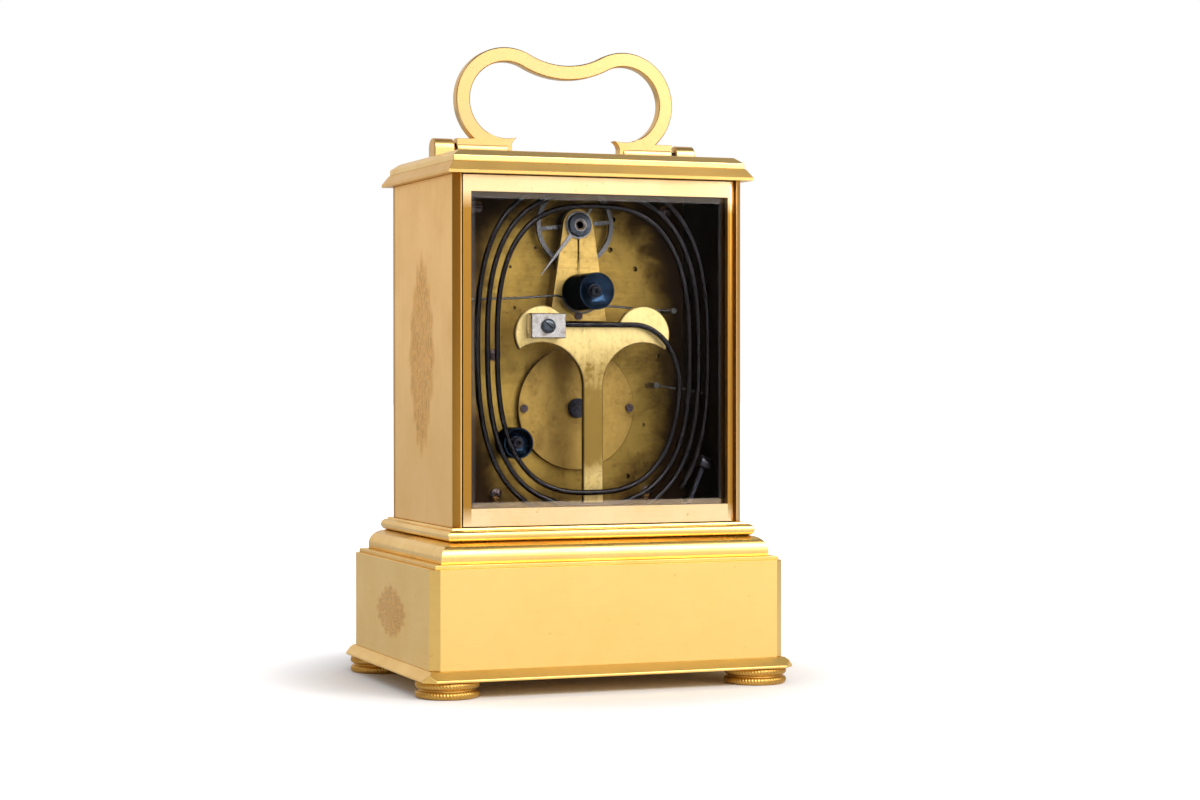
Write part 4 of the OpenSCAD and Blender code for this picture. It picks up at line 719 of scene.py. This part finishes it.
def wire(path, depth, r, sides):
    """A round wire along a flat path of (x, z) points at one depth, its ends rounded off."""
    points = [Vector(p) for p in path]
    rings = []
    for i, p in enumerate(points):
        along = (points[min(i + 1, len(points) - 1)] - points[max(i - 1, 0)]).normalized()
        side = Vector((-along.y, along.x))
        rounds = [(1.0, 0.0)]
        if i == 0:
            rounds = [(0.6, -0.25), (1.0, 0.0)]
        if i == len(points) - 1:
            rounds = [(1.0, 0.0), (0.6, 0.25)]
        for size, push in rounds:
            centre = p + along * push * r
            ring = []
            for k in range(sides):
                a = 2 * math.pi * k / sides
                wide = r * size * math.cos(a)
                ring.append((centre.x + side.x * wide, depth + r * size * math.sin(a),
                             centre.y + side.y * wide))
            rings.append(ring)
    return skin(rings)


gong_steel = finish("gong_steel", polished_steel(
    (0.031, 0.028, 0.031, 1), (0.024, 0.017, 0.016, 1), rough=0.10, size=60.0, graze=0.35))
piece("gong_wire", wire(gong_path, gong_y, wire_r, 14), gong_steel, "case", ["gong"], 60)


# The gong's inner end is gripped in a block of bright steel, filed flat, under a domed blue screw
# whose slot stands askew.
block_x, block_z, block_w, block_h = 0.0136, mid_z - 0.0097, 0.0051, 0.00345
block = [(block_x - block_w, block_z - block_h), (block_x + block_w, block_z - block_h),
         (block_x + block_w, block_z + block_h), (block_x - block_w, block_z + block_h)]
block_steel = finish("block_steel", polished_steel(
    (0.60, 0.56, 0.54, 1), (0.10, 0.06, 0.045, 1), amount=0.9, size=330.0))
piece("grip_block", chamfered(turn_outline(block), 0.0205, 0.0245, 0.0003), block_steel,
      "case", ["gong_block"], 30)

screw_x, screw_z, screw_r, screw_y = block_x + 0.0002, block_z - 0.0001, 0.00205, 0.0250
dome = [(0.0009, 0.0244), (screw_r, 0.0245), (screw_r, screw_y)]
dome += [(screw_r * math.cos(math.radians(a)), screw_y + 0.0008 * math.sin(math.radians(a)))
         for a in range(10, 86, 10)]
screw = piece("grip_screw", turned(dome, (screw_x, screw_z), 48), cap_steel, "case", ["gong_block"], 35)
slot_long, slot_deep, slot_wide, slot_lean = 0.0060, 0.0010, 0.00048, -38
slot_bar = bmesh.new()
bmesh.ops.create_cube(slot_bar, size=1.0)
slot_bar.transform(
    Matrix.Translation((screw_x, 0.0257, screw_z)) @ Matrix.Rotation(math.radians(slot_lean), 4, "Y")
    @ Matrix.Diagonal((slot_long, slot_deep, slot_wide, 1)))
slot_mesh = bpy.data.meshes.new("slot_cutter")
slot_bar.to_mesh(slot_mesh)
slot_bar.free()
slot_cutter = bpy.data.objects.new("slot_cutter", slot_mesh)
bpy.context.scene.collection.objects.link(slot_cutter)
slot_cut = screw.modifiers.new("slot", "BOOLEAN")
slot_cut.object = slot_cutter
slot_cut.operation = "DIFFERENCE"
bpy.context.view_layer.update()
cut_mesh = bpy.data.meshes.new_from_object(screw.evaluated_get(bpy.context.evaluated_depsgraph_get()))
screw.modifiers.clear()
screw.data = cut_mesh
bpy.data.objects.remove(slot_cutter)


# Dial side: a white enamel dial with painted hours and a minute ring, a gilt mask round it, and two
# blued hands. The figures are black enamel paint, fired on.
def enamel(tone):
    place = tone.node("TexCoord", out="Object")
    haze = tone.node("TexNoise", {"Vector": place, "Scale": 120.0, "Detail": 4.0})
    return {"Base Color": tone.blend(haze, (0.90, 0.89, 0.85, 1), (0.82, 0.80, 0.74, 1)),
            "Roughness": 0.12 + haze * 0.06, "Coat Weight": 0.5}


def black_paint(tone):
    grain = tone.node("TexNoise", {"Scale": 400.0, "Vector": tone.node("TexCoord", out="Object")})
    return {"Base Color": tone.blend(grain, (0.012, 0.012, 0.014, 1), (0.035, 0.032, 0.03, 1)),
            "Roughness": 0.35 + grain * 0.1}


gilt_mask = finish("gilt_mask", gilding((600, 600, 600), ornament=cartouche(mid_z, 0.040, 0.046, axis=0)))
soften(["dial"], 0.0003, finish("enamel", enamel))
soften(["minute_hand", "hour_hand"], 0.0001, blued)
soften(["dial_mask"], 0.0001, gilt_mask)

dial_y, paint_thick = -0.02321, 0.00003
figures_r, figure_half_h, figure_unit, stroke_unit = 0.0172, 0.0022, 0.00105, 0.00085
letter_strokes = {
    "I": [((0, -1), (0, 1), 0.18)],
    "V": [((-0.55, 1), (0, -1), 0.26), ((0.55, 1), (0, -1), 0.10)],
    "X": [((-0.55, 1), (0.55, -1), 0.26), ((0.55, 1), (-0.55, -1), 0.10)]}
letter_width = {"I": 0.62, "V": 1.3, "X": 1.3}
figures = ([], [])


def on_dial(out, along, degrees):
    """A point of the dial, out from its middle at an angle from twelve and along to the right of that."""
    spin = math.radians(degrees)
    return Vector((out * math.sin(spin) + along * math.cos(spin),
                   mid_z + out * math.cos(spin) - along * math.sin(spin)))


def stroke_bar(a, b, half):
    """A painted bar between two (x, z) points, a hair's breadth proud of the enamel."""
    verts, faces = figures
    along = (b - a).normalized()
    side = Vector((-along.y, along.x)) * half
    base = len(verts)
    for y in (dial_y, dial_y - paint_thick):
        verts += [(p.x, y, p.y) for p in (a - side, b - side, b + side, a + side)]
    faces += [tuple(base + k for k in face) for face in
              ((0, 1, 2, 3), (4, 7, 6, 5), (0, 4, 5, 1), (1, 5, 6, 2), (2, 6, 7, 3), (3, 7, 4, 0))]


for hour, letters in enumerate("I II III IIII V VI VII VIII IX X XI XII".split(), 1):
    x = -sum(letter_width[c] for c in letters) / 2
    for c in letters:
        middle = x + letter_width[c] / 2
        for *ends, half in letter_strokes[c]:
            start, end = (on_dial(figures_r + z * figure_half_h, (middle + shift) * figure_unit, hour * 30)
                          for shift, z in ends)
            stroke_bar(start, end, half * stroke_unit)
        x += letter_width[c]
for minute in range(60):
    near, far, half = (0.0204, 0.0218, 0.00008) if minute % 5 else (0.0202, 0.0220, 0.00016)
    stroke_bar(on_dial(near, 0, minute * 6), on_dial(far, 0, minute * 6), half)
for r in (0.0203, 0.0219):
    for degrees in range(0, 360, 4):
        stroke_bar(on_dial(r, 0, degrees), on_dial(r, 0, degrees + 4), 0.00006)
piece("dial_figures", figures, finish("black_paint", black_paint), "case", [], 30)
